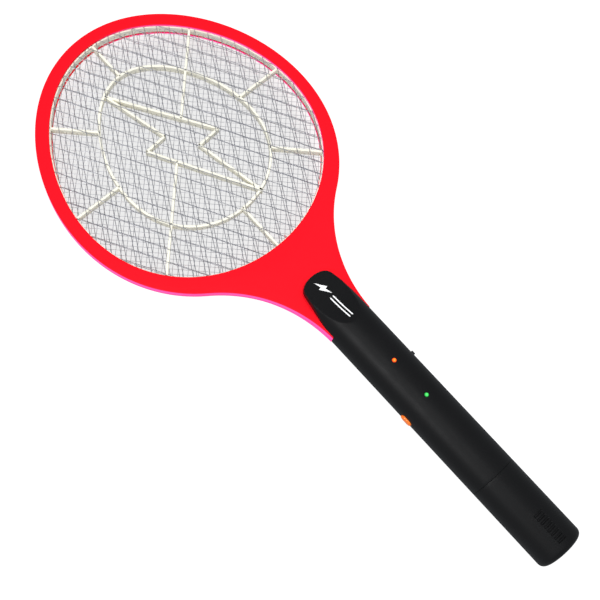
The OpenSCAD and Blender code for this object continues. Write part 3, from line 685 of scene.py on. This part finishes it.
def frame_half(name, side):
    """One half of the red frame: a section carried round the head.

    Each station's section runs up the inside of the outer wall, under the flange to the
    opening, round the opening's edge, over the flat face, round the outer edge and down
    the outer wall. side is 1 for the front half and -1 for the rear half, whose outer edge
    is rounded broadly along the rim and less towards the handle.
    """
    outside, inward, partner = frame_outline()
    flange = half_head - FRAME_WALL
    edge, lip = np.full((len(outside), 1), 0.9), 0.45
    if side < 0:
        edge[:, 0] = np.interp(outside[:, 0], [tip_x - 10, tube_x - 6], [4.2, 1.2])
    reach = 1.2 if side < 0 else 0.0
    section = [("out", FRAME_WALL, 0.0), ("out", FRAME_WALL, flange), ("in", -reach, flange)]
    section += [("in", lip - u - reach, v)
                for u, v in arc((0, half_head - lip), lip, 0, 90, 5)]
    section += [("mix", share, half_head) for share in (0.3, 0.7)]
    section += [("out", edge * (1 - u), half_head - edge * (1 - v))
                for u, v in arc((0, 0), 1, 90, 0, 9)]
    section += [("out", 0.0, 0.22), ("out", 0.18, 0.03)]
    rows = []
    for base, offset, height in section:
        if base == "out":
            flat = outside + inward * offset
        elif base == "in":
            flat = oval(opening, partner, offset)
        else:
            a, b = oval(opening, partner, lip - reach), outside + inward * edge
            flat = a + (b - a) * offset
        rows.append(np.column_stack([flat, np.zeros((len(flat), 1)) + height]))
    points = np.stack(rows, 1)
    points[..., 2] *= side
    parts = Parts()
    parts.grid(points, wrap_rows=True, wrap_columns=True, flip=side > 0)
    tang = rounded_box(2 * 13, half_head - 0.1, 1.0, 0)
    rows = []
    for x in (tube_x - 4, tube_x + TANG):
        rows.append(np.column_stack([
            np.full(len(tang), x), tang[:, 0], side * (tang[:, 1] + half_head / 2)
        ]))
    parts.grid(np.stack(rows), wrap_columns=True, caps=True, flip=side > 0)
    boss = [(SCREW_BORE_R, 0.1), (SCREW_BORE_R, flange), (SCREW_BOSS_R, flange),
            (SCREW_BOSS_R, 0.1)]
    if side > 0:
        boss[2:3] = [(0.0, flange), (0.0, flange + 0.3), (SCREW_BOSS_R, flange + 0.3)]
    boss = np.array(boss) * [1, side]
    for x, y in frame_screw_places():
        revolve(parts, boss[::-side], (x, y, 0), steps=24, closed=True)
    return parts.build(name, smooth=32)


def cylinder_cutter(x, y, radius, low, high):
    """Upright round cutter from one height to another."""
    parts = Parts()
    revolve(parts, [(radius, low), (radius, high)], (x, y, 0), steps=40)
    return parts.build("cutter")


def frame_screw_places():
    """Places of the frame screws round the opening."""
    return [oval(opening, t, FRAME_SCREW_OFFSET) for t in FRAME_SCREW_ANGLES]


front = frame_half("front_frame_half", 1)
finish_piece(front, "racket", "red_plastic", "front_frame")
rear = frame_half("rear_frame_half", -1)
cut(rear, [cylinder_cutter(x, y, FRAME_SCREW_HOLE_R, -half_head - 1, -half_head + 1.4)
           for x, y in frame_screw_places()])
finish_piece(rear, "racket", "red_plastic", "rear_frame")

# ---------------- ivory spacer grids

BOLT = np.array([
    [-0.875, -0.335], [0.163, 0.482], [0.186, 0.15], [0.995, 0.349], [-0.104, -0.422],
    [-0.124, -0.113],
]) * ring[:2]
SIDE_SPOKE_X = 1.57


def rib_section(width, low, high):
    """Section of a rib as (across, height): drafted sides and a rounded top and foot."""
    r = RIB_EDGE_R
    right = arc((width / 2 - r, high - r), r, 0, 90, 5)
    shape = np.concatenate([[(width * 0.58, low)], right])
    return np.concatenate([shape, shape[::-1] * [-1, 1]])


def straight_rib(parts, a, b, low, high, width=RIB):
    """Rib between two points, with its ends pushed a third of a width past them."""
    a, b = np.asarray(a, float), np.asarray(b, float)
    run = (b - a) / np.linalg.norm(b - a)
    across = np.array([-run[1], run[0]])
    section = rib_section(width, low, high)
    rows = []
    for end, push in ((a, -1), (b, 1)):
        flat = end + push * run * width * 0.35 + section[:, :1] * across
        rows.append(np.column_stack([flat, section[:, 1]]))
    parts.grid(np.stack(rows), wrap_columns=True, caps=True, flip=True)


def oval_rib(parts, shape, low, high, inner, outer, steps=220):
    """Closed band round an oval between two offsets, with rounded upper edges."""
    t = full_turn(steps)
    r = RIB_EDGE_R
    section = [(outer, low), *arc((outer - r, high - r), r, 0, 90, 5),
               *arc((inner + r, high - r), r, 90, 180, 5), (inner, low)]
    rows = [np.column_stack([oval(shape, t, off), np.full(steps, z)]) for off, z in section]
    parts.grid(np.stack(rows, 1), wrap_rows=True, wrap_columns=True, flip=True)


def spoke_point(shape, direction):
    """Point of an oval that lies in the given direction from the spoke centre."""
    t = np.linspace(-np.pi, np.pi, 20001)
    p = oval(shape, t)
    turn = np.angle(np.exp(1j * (np.arctan2(p[:, 1], p[:, 0]) - direction)))
    return p[np.abs(turn).argmin()]


def spacer_grid(name, side):
    """Rim band, oval ring, eight spokes, two inner spokes and the bolt's outline."""
    parts = Parts()
    low, high = grid_base, grid_top
    oval_rib(parts, opening, low, high, -0.8, CLAMP)
    oval_rib(parts, ring, low, high, -RIB / 2, RIB / 2)
    for step in range(8):
        direction = step * np.pi / 4
        beside = np.array([SIDE_SPOKE_X if step in (2, 6) else 0, 0])
        straight_rib(parts, spoke_point(ring, direction) + beside,
                     spoke_point(opening, direction) + beside, low, high)
    straight_rib(parts, spoke_point(ring, 0.75 * np.pi), (-11.3, 11.3), low, high)
    straight_rib(parts, spoke_point(ring, -0.25 * np.pi), (12.2, -12.2), low, high)
    for a, b in zip(BOLT, np.roll(BOLT, -1, 0)):
        straight_rib(parts, a, b, low, high)
    if side < 0:
        parts.points = [p * [1, 1, -1] for p in parts.points]
        parts.faces = [f[::-1] for f in parts.faces]
    return parts.build(name, smooth=40, weld=False)


for node, side in (("front_grid", 1), ("rear_grid", -1)):
    piece = spacer_grid(node + "_moulding", side)
    finish_piece(piece, "racket", "ivory_plastic", node)

# ---------------- woven wire meshes

WIRE_R = 0.24
FINE_R = 0.15


def woven_mesh(name, middle, pitch, slant, radius, shift, wobble, steps, sides):
    """Two families of wires at plus and minus the slant that pass over and under.

    A point of a wire lies at s along it. The number of wires of the other family before
    that point is (f s sin 2a + offset cos 2a - shift) / pitch, with f the family's sign and
    a the slant, and the height is f cos(pi (that number + the wire's own number)). Each
    wire also strays sideways by a slow wave.
    """
    parts = Parts()
    rows = int(opening[0] / pitch) + 3
    turn = math.sin(2 * slant)
    for family in (1, -1):
        along = np.array([math.cos(slant), family * math.sin(slant)])
        across = np.array([-family * math.sin(slant), math.cos(slant)])
        for row in range(-rows, rows + 1):
            offset = row * pitch + shift
            begin = offset * math.cos(2 * slant) - shift
            reach = int(1.3 * opening[0] / pitch)
            number = np.arange(-reach, reach, 1 / steps) + round(begin / pitch)
            s = family * (number * pitch - begin) / turn
            stray = rng.normal(0, wobble) + wobble * np.sin(
                s / rng.uniform(30, 70) + rng.uniform(0, 6.28)
            )
            flat = s[:, None] * along + (offset + stray)[:, None] * across
            keep = inside_oval(opening, flat[:, 0], flat[:, 1], CLAMP - 0.3)
            if keep.sum() < 3:
                continue
            height = middle + family * radius * 1.02 * np.cos(np.pi * (number + row))
            path = np.column_stack([flat, height])[keep]
            tube(parts, path, radius, sides=sides)
    edge = oval(opening, full_turn(160), CLAMP - 0.35)
    tube(parts, np.column_stack([edge, full(edge, middle)]), radius, sides=6, closed=True)
    return parts.build(name, smooth=80, weld=False)


def make_meshes():
    """Coarse front and rear meshes and the fine one between the two grids."""
    coarse, fine = math.radians(30), math.radians(45)
    height = grid_top + 2 * WIRE_R
    for node, *options in (
        ("front_mesh", height, MESH_PITCH, coarse, WIRE_R, 0.0, 0.08, 4, 6),
        ("centre_mesh", 0.0, FINE_PITCH, fine, FINE_R, 0.0, 0.06, 1, 4),
        ("rear_mesh", -height, MESH_PITCH, coarse, WIRE_R, MESH_PITCH / 3, 0.1, 4, 6),
    ):
        piece = woven_mesh(node + "_wires", *options)
        finish_piece(piece, "racket", "mesh_steel", node)


make_meshes()

# ---------------- handle shells


def smooth_min(a, b, soft):
    """Smaller of two values with a rounded corner of about the given size."""
    share = np.clip(0.5 + 0.5 * (b - a) / soft, 0, 1)
    return b * (1 - share) + a * share - soft * share * (1 - share)


def tongue_half(s):
    """Half width of the tongue at a distance from its tip."""
    tongue = tube_x - tip_x
    tip_half = 0.63 * handle_r
    blunt = (1 - np.clip(1 - s / 7, 0, 1) ** 2.4) ** (1 / 2.4)
    return (tip_half + (handle_r + 1 - tip_half) * s / tongue) * blunt


def facet_height(s):
    """Height of the scooped flat above the handle's axis at a distance from the tip."""
    return half_head + 4.8 + 0.076 * s + np.maximum(0, s - 19.5) ** 2 / (2 * 62.5)


def front_limit(x):
    """Height of the front shell's flat, which ends behind the tongue."""
    return np.where(x < tube_x + 8, facet_height(np.maximum(x - tip_x, 0)), NO_LIMIT)


def rear_limit(x):
    """Depth of the rear shell: a nose that sinks to the strip on which the handle rests."""
    nose = half_head + 1.6 + (x - tip_x + 5) * (handle_r - half_head - 1.6) / 22
    return smooth_min(nose, handle_r - REST_CUT, 1.2)


def no_limit(x):
    """Limit of the plain round grip."""
    return np.full(np.shape(x), NO_LIMIT)


def section_radius(x, angle, limit, radius, inset=0.0):
    """Distance from the axis to the skin in a direction: round bar, flat and tongue side."""
    reach = radius + 0 * angle
    reach = smooth_min(reach, (limit(x) - inset) / np.maximum(np.sin(angle), 1e-3), 0.35)
    side = np.where(x < tube_x, tongue_half(np.maximum(x - tip_x, 0)) - inset, NO_LIMIT)
    side = np.maximum(side, 0.15)
    return smooth_min(reach, side / np.maximum(np.abs(np.cos(angle)), 1e-3), 0.5)


def shell_grid(x, share, base, limit, radius, inset=0.0):
    """Skin points for stations x, shares 0 to 1 round the section and a base height."""
    x, share = np.meshgrid(x, share, indexing="ij")
    base = np.broadcast_to(np.asarray(base, float)[:, None], x.shape)
    start = np.arcsin(np.clip(base / radius[:, None], 0, 0.99))
    for _ in range(12):
        start = np.arcsin(np.clip(
            base / section_radius(x, np.maximum(start, 1e-4), limit, radius[:, None], inset),
            0, 0.995))
    angle = start + (np.pi - 2 * start) * share
    reach = section_radius(x, angle, limit, radius[:, None], inset)
    return np.stack([x, reach * np.cos(angle), reach * np.sin(angle)], -1)


def soften_edges(points, first=False, last=False):
    """Pulls a skin's edges towards the axis for a fine seam."""
    def pull(part, depth):
        """Moves points towards the axis by the depth."""
        flat = part[..., 1:]
        size = np.linalg.norm(flat, axis=-1, keepdims=True)
        part[..., 1:] = flat * (1 - depth / np.maximum(size, 1))
    pull(points[:, 0], SEAM_DEPTH)
    pull(points[:, -1], SEAM_DEPTH)
    if first:
        pull(points[0], DOOR_SEAM_DEPTH)
    if last:
        pull(points[-1], DOOR_SEAM_DEPTH)


def handle_shell(name, grip_outer, grip_inner, limit, side):
    """Half of the handle: stations of the tongue, then the grip's (x, radius) stations.

    The tongue is solid down to the neck that it covers, so its inner skin is flat.
    """
    nose = tip_x + 7 * np.linspace(0.04, 1, 18) ** 2
    flank = np.arange(tip_x + 7.6, tube_x - 0.3, 0.7)
    tongue = np.concatenate([nose, flank, [tube_x - 0.002]])
    count = len(tongue)
    share = np.concatenate([[0], np.linspace(0.008, 0.992, 121), [1]])
    skins = []
    for line, radius, foot, inset in (
        (grip_outer, handle_r, half_head + GAP, 0.0), (grip_inner, bore_r, 0.0, SHELL_WALL),
    ):
        line = np.concatenate([np.column_stack([tongue, full(tongue, radius)]), line])
        base = full(line, 0)
        base[:count] = foot
        skins.append(shell_grid(line[:, 0], share, base, limit, line[:, 1], inset))
    outer, inner = skins
    inner[:count] = outer[:count]
    inner[:count, :, 1] = np.linspace(1, -1, len(share)) * np.abs(outer[:count, :1, 1])
    inner[:count, :, 2] = half_head + GAP
    soften_edges(outer[count:], last=side > 0)
    parts = Parts()
    thick_skin(parts, outer * [1, 1, side], inner * [1, 1, side], flip=side > 0)
    return parts.build(name, smooth=40)


def front_shell():
    """Front half of the handle, up to the battery door."""
    grip = np.concatenate([[tube_x], np.arange(tube_x + 0.7, tube_x + 9, 0.7),
                           np.linspace(tube_x + 10, door_x - 0.3, 60), [door_x]])
    lines = [np.column_stack([grip, full(grip, radius)]) for radius in (handle_r, bore_r)]
    return handle_shell("front_handle_shell", *lines, front_limit, 1)


def butt_profile(from_x):
    """Outer and inner (x, radius) stations of a grip that ends in the rounded butt."""
    start = butt_x - BUTT_EDGE
    straight = np.concatenate([[from_x, from_x + 0.3], np.linspace(from_x + 2, start, 24)])
    lines = []
    for radius, corner, end in (
        (handle_r, BUTT_EDGE, butt_x), (bore_r, BUTT_EDGE - BUTT_WALL, butt_x - BUTT_WALL),
    ):
        line = [(x, radius) for x in straight]
        line += [(start + corner * math.sin(a), radius - corner + corner * math.cos(a))
                 for a in np.radians(np.linspace(0, 90, 12))[1:]]
        line += [(end, (radius - corner) * share) for share in np.linspace(1, 0.002, 8)[1:]]
        lines.append(np.array(line))
    return lines


def rear_shell():
    """Rear half of the handle, up to the rounded butt."""
    return handle_shell("rear_handle_shell", *butt_profile(tube_x), rear_limit, -1)


rib_patch_x = butt_x - 27.7


def battery_door():
    """Door with the row of thumb ribs: grooves sink into the skin between the ribs."""
    outer_line, inner_line = butt_profile(door_x + 0.2)
    dense = np.arange(rib_patch_x - 3, rib_patch_x + THUMB_RIBS * THUMB_PITCH + 1, 0.2)
    dense = dense[dense < butt_x - BUTT_EDGE - 0.2]
    before = outer_line[:, 0] < dense[0] - 0.3
    after = (outer_line[:, 0] > butt_x - BUTT_EDGE) | (outer_line[:, 0] >= dense[-1] + 0.15)
    lines = [
        np.concatenate([line[before], np.column_stack([dense, full(dense, radius)]), line[after]])
        for line, radius in ((outer_line, handle_r), (inner_line, bore_r))
    ]
    middle = 0.5 + np.linspace(-0.085, 0.085, 57)
    share = np.concatenate([[0], np.linspace(0.008, middle[0] - 0.01, 46), middle,
                            np.linspace(middle[-1] + 0.01, 0.992, 46), [1]])
    outer, inner = (shell_grid(line[:, 0], share, full(line, 0), no_limit, line[:, 1])
                    for line in lines)
    groove = (outer[..., 0] - rib_patch_x + 2) / THUMB_PITCH
    inside = (groove > 0) & (groove < THUMB_RIBS + 0.6)
    wave = np.clip(np.sin(groove % 1 / GROOVE_SHARE * np.pi) * 1.6, 0, 1)
    wave *= groove % 1 < GROOVE_SHARE
    side = np.clip((THUMB_HALF_WIDTH - np.abs(outer[..., 1])) / 0.5, 0, 1)
    outer[..., 2] -= THUMB_DEPTH * wave * side * inside * (outer[..., 2] > 8)
    soften_edges(outer, first=True)
    parts = Parts()
    thick_skin(parts, outer, inner, flip=True)
    a = np.radians(np.linspace(66, 114, 15))
    tab_x = np.array([door_x - 5, door_x - 4.6, door_x + 8])[:, None]
    flat = (bore_r - 0.35) * np.cos(a), (bore_r - 0.35) * np.sin(a)
    tab_out = np.stack(np.broadcast_arrays(tab_x, *flat), -1)
    tab_out[2, :, 1:] *= (bore_r + 0.2) / (bore_r - 0.35)
    tab_in = tab_out.copy()
    tab_in[..., 1:] *= (bore_r - 1.8) / bore_r
    tab_out[0, :, 1:] *= 0.98
    thick_skin(parts, tab_out, tab_in, flip=True)
    return parts.build("battery_door_shell", smooth=40)


def side_loft(name, x, rows, flip=False):
    """Closed solid through (outline, y) pairs, whose outlines lie in X and Z about x."""
    grid = [np.column_stack([line[:, 0] + x, full(line, y), line[:, 1]]) for line, y in rows]
    parts = Parts()
    parts.grid(np.stack(grid), wrap_columns=True, caps=True, flip=flip)
    return parts.build(name, smooth=45)


def side_cutters():
    """Cutters for the button's hole and for the knob's slot with its travel."""
    button = centre_of("push_button")
    knob_low, knob_high = span("slide_knob")
    knob_length = knob_high[0] - knob_low[0]
    middle = (knob_low[0] + knob_high[0]) / 2 - head_x - KNOB_TRAVEL / 2
    hole = stadium(BUTTON_LENGTH + BUTTON_ROOM, BUTTON_HEIGHT + BUTTON_ROOM, 0)
    slot = rounded_box(knob_length + KNOB_TRAVEL + KNOB_ROOM, 2.4, 0.3, 0)
    return [side_loft("cutter", button[0], [(hole, -handle_r - 1), (hole, -handle_r + 6)]),
            side_loft("cutter", middle, [(slot, bore_r - 1.5), (slot, handle_r + 1)])]


lamps = [centre_of("red_led"), centre_of("green_led")]
screw_places = [tube_x + 12, door_x - 15]

shell = front_shell()
cut(shell, [cylinder_cutter(p[0], 0, LAMP_R + 0.12, bore_r - 3, handle_r + 2) for p in lamps]
    + side_cutters())
finish_piece(shell, "racket", "black_plastic", "front_shell")

shell = rear_shell()
cut(shell, [cylinder_cutter(x, 0, HANDLE_SCREW_HOLE_R, -handle_r - 1, -bore_r + 1)
            for x in screw_places] + side_cutters())
finish_piece(shell, "racket", "black_plastic", "rear_shell")

finish_piece(battery_door(), "battery_door", "black_plastic", "battery_door")

# ---------------- white print


def printed_patch(parts, x, low, high):
    """Thin print on the scooped flat between two edges given at stations x."""
    share = np.linspace(0, 1, 5)
    y = low[:, None] + (high - low)[:, None] * share
    s = np.broadcast_to(x[:, None], y.shape)
    z = facet_height(s)
    top = np.stack([tip_x + s, y, z + 0.09], -1)
    under = np.stack([tip_x + s, y, z - 0.1], -1)
    thick_skin(parts, top, under)


def emblem():
    """A plain bolt and two plain bars in white print."""
    parts = Parts()
    upper = np.array([[-6.5, -2.2], [1, 2.9], [1.3, 0.9], [6.5, 2.2]])
    lower = np.array([[-6.5, -2.2], [-1.3, -0.9], [-1, -2.9], [6.5, 2.2]])
    s = np.unique(np.concatenate([np.linspace(-6.49, 6.49, 27), [-1.3, -1, 1, 1.3]]))
    printed_patch(parts, s + 11, np.interp(s, *lower.T), np.interp(s, *upper.T))
    s = np.linspace(19, 37.8, 30)
    end = 0.45 * np.sqrt(np.clip(1 - np.clip((np.abs(s - 28.4) - 8.9) / 0.5, 0, 1) ** 2, 0.02, 1))
    for y in (-1.2, 1.2):
        printed_patch(parts, s, y - end, y + end)
    return parts.build("white_emblem", smooth=30)


finish_piece(emblem(), "racket", "white_print", "emblem")

# ---------------- lamps and controls


def lamp(name, node):
    """Lens of a lamp: a dome on a straight body with a small foot flange."""
    low, high = span(node)
    top, base = high[2] - axis_z, low[2] - axis_z
    r = LAMP_R
    profile = [(0.001, base), (r + 0.4, base), (r + 0.4, base + 0.8), (r, base + 0.9)]
    profile += [(r * math.cos(k), top - r + r * math.sin(k))
                for k in np.radians(np.linspace(0, 89, 12))]
    parts = Parts()
    revolve(parts, profile, (centre_of(node)[0], 0, 0), steps=32)
    return parts.build(name, smooth=50)


finish_piece(lamp("red_lamp_lens", "red_led"), "racket", "red_lens", "red_led")
finish_piece(lamp("green_lamp_lens", "green_led"), "racket", "green_lens", "green_led")


def push_button():
    """Orange button: a slot-shaped cap with a rounded, slightly crowned face and a flange."""
    low, high = span("push_button")
    x = (low[0] + high[0]) / 2 - head_x
    face, back = low[1], high[1]
    rows = [(2.0, face), (1.2, face + 0.03), (0.7, face + 0.1), (0.35, face + 0.25),
            (0.12, face + 0.5), (0.0, face + 0.85), (0.0, back - 1.2), (-1.1, back - 1.15),
            (-1.1, back), (1.5, back)]
    rows = [(stadium(BUTTON_LENGTH, BUTTON_HEIGHT, inset, steps=16), y) for inset, y in rows]
    return side_loft("orange_push_button", x, rows)


def slide_knob():
    """Knob of the slide switch: a small block with rounded corners and a rounded end."""
    low, high = span("slide_knob")
    x = (low[0] + high[0]) / 2 - head_x
    length, height = high[0] - low[0], high[2] - low[2]
    rows = [(0.0, low[1]), (0.0, high[1] - 0.35), (0.1, high[1] - 0.12), (0.3, high[1])]
    rows = [(rounded_box(length, height, 0.3, inset), y) for inset, y in rows]
    return side_loft("slide_switch_knob", x, rows, flip=True)


finish_piece(push_button(), "push_button", "orange_plastic", "push_button")
finish_piece(slide_knob(), "slide_knob", "component_plastic", "slide_knob")

# ---------------- screws


def screw_head(parts, x, y, z, radius, height, direction):
    """Pan head with a cross recess: a polar grid whose height dips along two bars."""
    r = np.concatenate([np.linspace(0.02, 0.8, 16), [0.9, 0.97, 1.0, 1.0]]) * radius
    rr, aa = np.meshgrid(r, full_turn(64), indexing="ij")
    u, v = rr * np.cos(aa), rr * np.sin(aa)
    dome = height * (1 - 0.35 * (rr / radius) ** 3)
    arm = 0.16 * radius
    cross = ((np.abs(u) < arm) | (np.abs(v) < arm)) & (rr < 0.62 * radius)
    dome = dome - cross * 0.5 * height
    dome[-1] = 0
    points = np.stack([x + u, y + v, z + direction * dome], -1)
    parts.grid(points, wrap_columns=True, caps=True, flip=direction < 0)


def screws(name, places, head_r, head_h, seat, shaft_r, shaft_end):
    """Screws driven from the rear, each with its head below the seat and a plain shaft."""
    parts = Parts()
    for x, y in places:
        screw_head(parts, x, y, seat, head_r, head_h, -1)
        revolve(parts, [(shaft_r, seat - 0.1), (shaft_r, shaft_end)], (x, y, 0), steps=20)
    return parts.build(name, smooth=30)


low, high = span("frame_screws")
piece = screws("frame_screws", frame_screw_places(), 1.6, 1.1, low[2] - axis_z + 1.2, 0.95,
               high[2] - axis_z)
finish_piece(piece, "racket", "screw_steel", "frame_screws")
low, high = span("shell_screws")
piece = screws("handle_screws", [(x, 0) for x in screw_places], 2.6, 1.7,
               low[2] - axis_z + 1.8, 1.25, high[2] - axis_z)
finish_piece(piece, "racket", "screw_steel", "shell_screws")

# ---------------- cells


def cells():
    """Sleeved bodies with shrunk ends, and the steel ends with the terminals."""
    low, high = span("battery_cells")
    length = high[0] - low[0]
    r = CELL_R
    y = (high[1] - low[1]) / 2 - r
    sleeve, steel = Parts(), Parts()
    for side in (-1, 1):
        def station(s):
            """Place along the handle of a distance from the cell's negative end."""
            return (low[0] - head_x + s) if side > 0 else (high[0] - head_x - s)
        body = length - 1.5
        wall = [(5.6, 0.05), (6.3, 0.0), (6.8, 0.15), (r, 0.6), (r, body - 0.7),
                (6.8, body - 0.2), (6.2, body), (4.4, body + 0.02)]
        cap = [(4.4, body - 0.3), (4.0, body + 0.05), (2.8, body + 0.1), (2.7, body + 1.3),
               (2.4, length), (0.001, length)]
        foot = [(0.001, 0.02), (4.8, 0.02), (5.0, 0.1), (5.7, 0.12), (5.7, 0.5), (0.001, 0.5)]
        for target, line in ((sleeve, wall), (steel, cap), (steel, foot)):
            line = np.array([(q, station(s)) for q, s in line])
            if side < 0:
                line = line[::-1]
            revolve(target, line, (0, side * y, 0), axis="x", steps=48)
    return sleeve.build("cell_sleeves", smooth=40), steel.build("cell_ends", smooth=40)


sleeves, ends = cells()
finish_piece(sleeves, "racket", "cell_sleeve", "battery_cells")
finish_piece(ends, "racket", "tinned_metal")

# ---------------- inner pieces from the CAD


def refined(node, slot, bevel=0.0, body="racket"):
    """Welded copy of a CAD node with smooth round faces and, if asked, softened edges."""
    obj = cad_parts[node].copy()
    obj.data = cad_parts[node].data.copy()
    obj.name = node + "_piece"
    bpy.context.scene.collection.objects.link(obj)
    obj.parent = None
    obj.matrix_world = Matrix.Identity(4)
    obj.hide_render = False
    obj.hide_viewport = False
    for key in list(obj.keys()):
        del obj[key]
    weld_mesh(obj.data, 1e-6)
    work = bmesh.new()
    work.from_mesh(obj.data)
    bmesh.ops.dissolve_limit(work, angle_limit=math.radians(0.5), verts=work.verts,
                             edges=work.edges)
    work.to_mesh(obj.data)
    work.free()
    obj.data.shade_smooth()
    obj.data.set_sharp_from_angle(angle=math.radians(SHARP_ANGLE))
    if bevel:
        modifier = obj.modifiers.new("edge", "BEVEL")
        modifier.width = bevel * MM
        modifier.segments = 2
        modifier.limit_method = "ANGLE"
        modifier.angle_limit = math.radians(50)
    finish_piece(obj, body, slot, node)


for node, slot_name, bevel in (
    ("led_legs", "tinned_metal", 0),
    ("tact_switch", "component_plastic", 0.15),
    ("slide_switch", "tinned_metal", 0.1),
    ("circuit_board", "board_laminate", 0.1),
    ("transformer_core", "ferrite", 0.25),
    ("transformer_winding", "coil_tape", 0),
    ("storage_capacitor", "capacitor_red", 0.9),
    ("smoothing_capacitor", "capacitor_sleeve", 0.3),
    ("diodes", "component_plastic", 0),
    ("resistors", "resistor_body", 0),
    ("transistor", "component_plastic", 0),
    ("cell_contacts", "tinned_metal", 0.08),
    ("contact_springs", "tinned_metal", 0),
    ("bridge_contact", "tinned_metal", 0.08),
    ("outer_mesh_lead", "wire_red", 0),
    ("centre_mesh_lead", "wire_yellow", 0),
    ("battery_lead_red", "wire_red", 0),
    ("battery_lead_black", "wire_black", 0),
):
    refined(node, slot_name, bevel)
refined("switch_plunger", "component_plastic", 0.2, body="push_button")

# ---------------- floor, light, camera


# Floor emission in the painted shadow under the head.
FLOOR_SHADE = 0.74


def make_floor():
    """Large floor just under the object that glows white, with a painted shadow where it glows
    less under the head.

    The glow is FLOOR_SHADE under the opening, as a painted shadow, and rises to 1 at the rim's
    outside, as length((x - middle) / a, y / b) goes from 0.86 to 1 with the rim oval's a and b.
    """
    size, z = 6.0, float(cad_low[2])
    mesh = bpy.data.meshes.new("studio_floor")
    corners = [(-size, -size, z), (size, -size, z), (size, size, z), (-size, size, z)]
    mesh.from_pydata(corners, [], [(0, 1, 2, 3)])
    floor = add_object("studio_floor", mesh)
    material, tree, shader = shader_base("floor paint")
    shader.inputs["Base Color"].default_value = (0.12, 0.12, 0.12, 1)
    shader.inputs["Roughness"].default_value = 0.9
    shader.inputs["Specular IOR Level"].default_value = 0.1
    shader.inputs["Emission Color"].default_value = (1, 1, 1, 1)
    middle = to_row_frame([OPENING_CENTRE, 0, 0])
    reach = distance(tree, (middle[0], middle[1], z),
                     (rim_outside[0] * MM, rim_outside[1] * MM, 1))
    # Painted shadow: the floor's emission drops to FLOOR_SHADE under the head.
    glow = add_node(tree, "ShaderNodeMapRange", **{
        "From Min": 0.86, "From Max": 1.0, "To Min": FLOOR_SHADE, "To Max": 1.0,
    })
    tree.links.new(reach, glow.inputs["Value"])
    tree.links.new(glow.outputs[0], shader.inputs["Emission Strength"])
    mesh.materials.append(material)
    floor.visible_glossy = False
    floor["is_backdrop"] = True


def area_light(name, place, target, size, power, size_y=None):
    """Soft area light that points at a target, in metres."""
    data = bpy.data.lights.new(name, "AREA")
    data.shape = "RECTANGLE"
    data.size, data.size_y = size, size_y or size
    data.energy = power
    light = add_object(name, data)
    light.location = place
    aim = Vector(target) - Vector(place)
    light.rotation_euler = aim.to_track_quat("-Z", "Y").to_euler()
    return light


def make_lights():
    """A broad overhead light without glare, and two small ones for glints on the handle.

    One glint lies behind the tongue and one between the lamps.
    """
    overhead = area_light("overhead softbox", (0.0, 0.1, 1.6), (0, 0, 0), 1.4, 24)
    overhead.visible_glossy = False
    head, lift = head_x * MM, axis_z * MM
    tongue, green = head + 0.16, head + 0.24
    area_light("tongue strip", (head + 0.13, -0.74, 0.67), (tongue, 0, lift), 0.12, 2.0, 0.2)
    area_light("lamp strip", (green, -0.3, 1.0), (green, 0, lift), 0.16, 0.8, 0.14)
    world = bpy.data.worlds.new("studio")
    bpy.context.scene.world = world
    world.use_nodes = True
    background = world.node_tree.nodes["Background"]
    background.inputs["Color"].default_value = (0.9, 0.95, 1.0, 1)
    background.inputs["Strength"].default_value = 0.35


def make_camera():
    """Camera above the handle's near side, rolled so that the racket lies diagonally."""
    azimuth, elevation, roll = np.radians([29.853, 71.583, 18.573])
    place = np.array([241.494, -189.772, 603.017]) + [head_x, 0, axis_z + half_head]
    right = np.array([math.cos(azimuth), math.sin(azimuth), 0])
    back = np.array([math.sin(azimuth) * math.cos(elevation),
                     -math.cos(azimuth) * math.cos(elevation), math.sin(elevation)])
    up = np.cross(back, right)
    turned = right * math.cos(roll) + up * math.sin(roll)
    upright = up * math.cos(roll) - right * math.sin(roll)
    data = bpy.data.cameras.new("camera")
    data.lens, data.sensor_width = 57.499, 36
    data.clip_start, data.clip_end = 0.05, 50
    camera = add_object("camera", data)
    turn = Matrix((turned, upright, back)).transposed().to_4x4()
    camera.matrix_world = Matrix.Translation(place * MM) @ turn
    bpy.context.scene.camera = camera


make_floor()
make_lights()
make_camera()
bpy.context.scene.view_settings.view_transform = "Standard"

low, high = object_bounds()
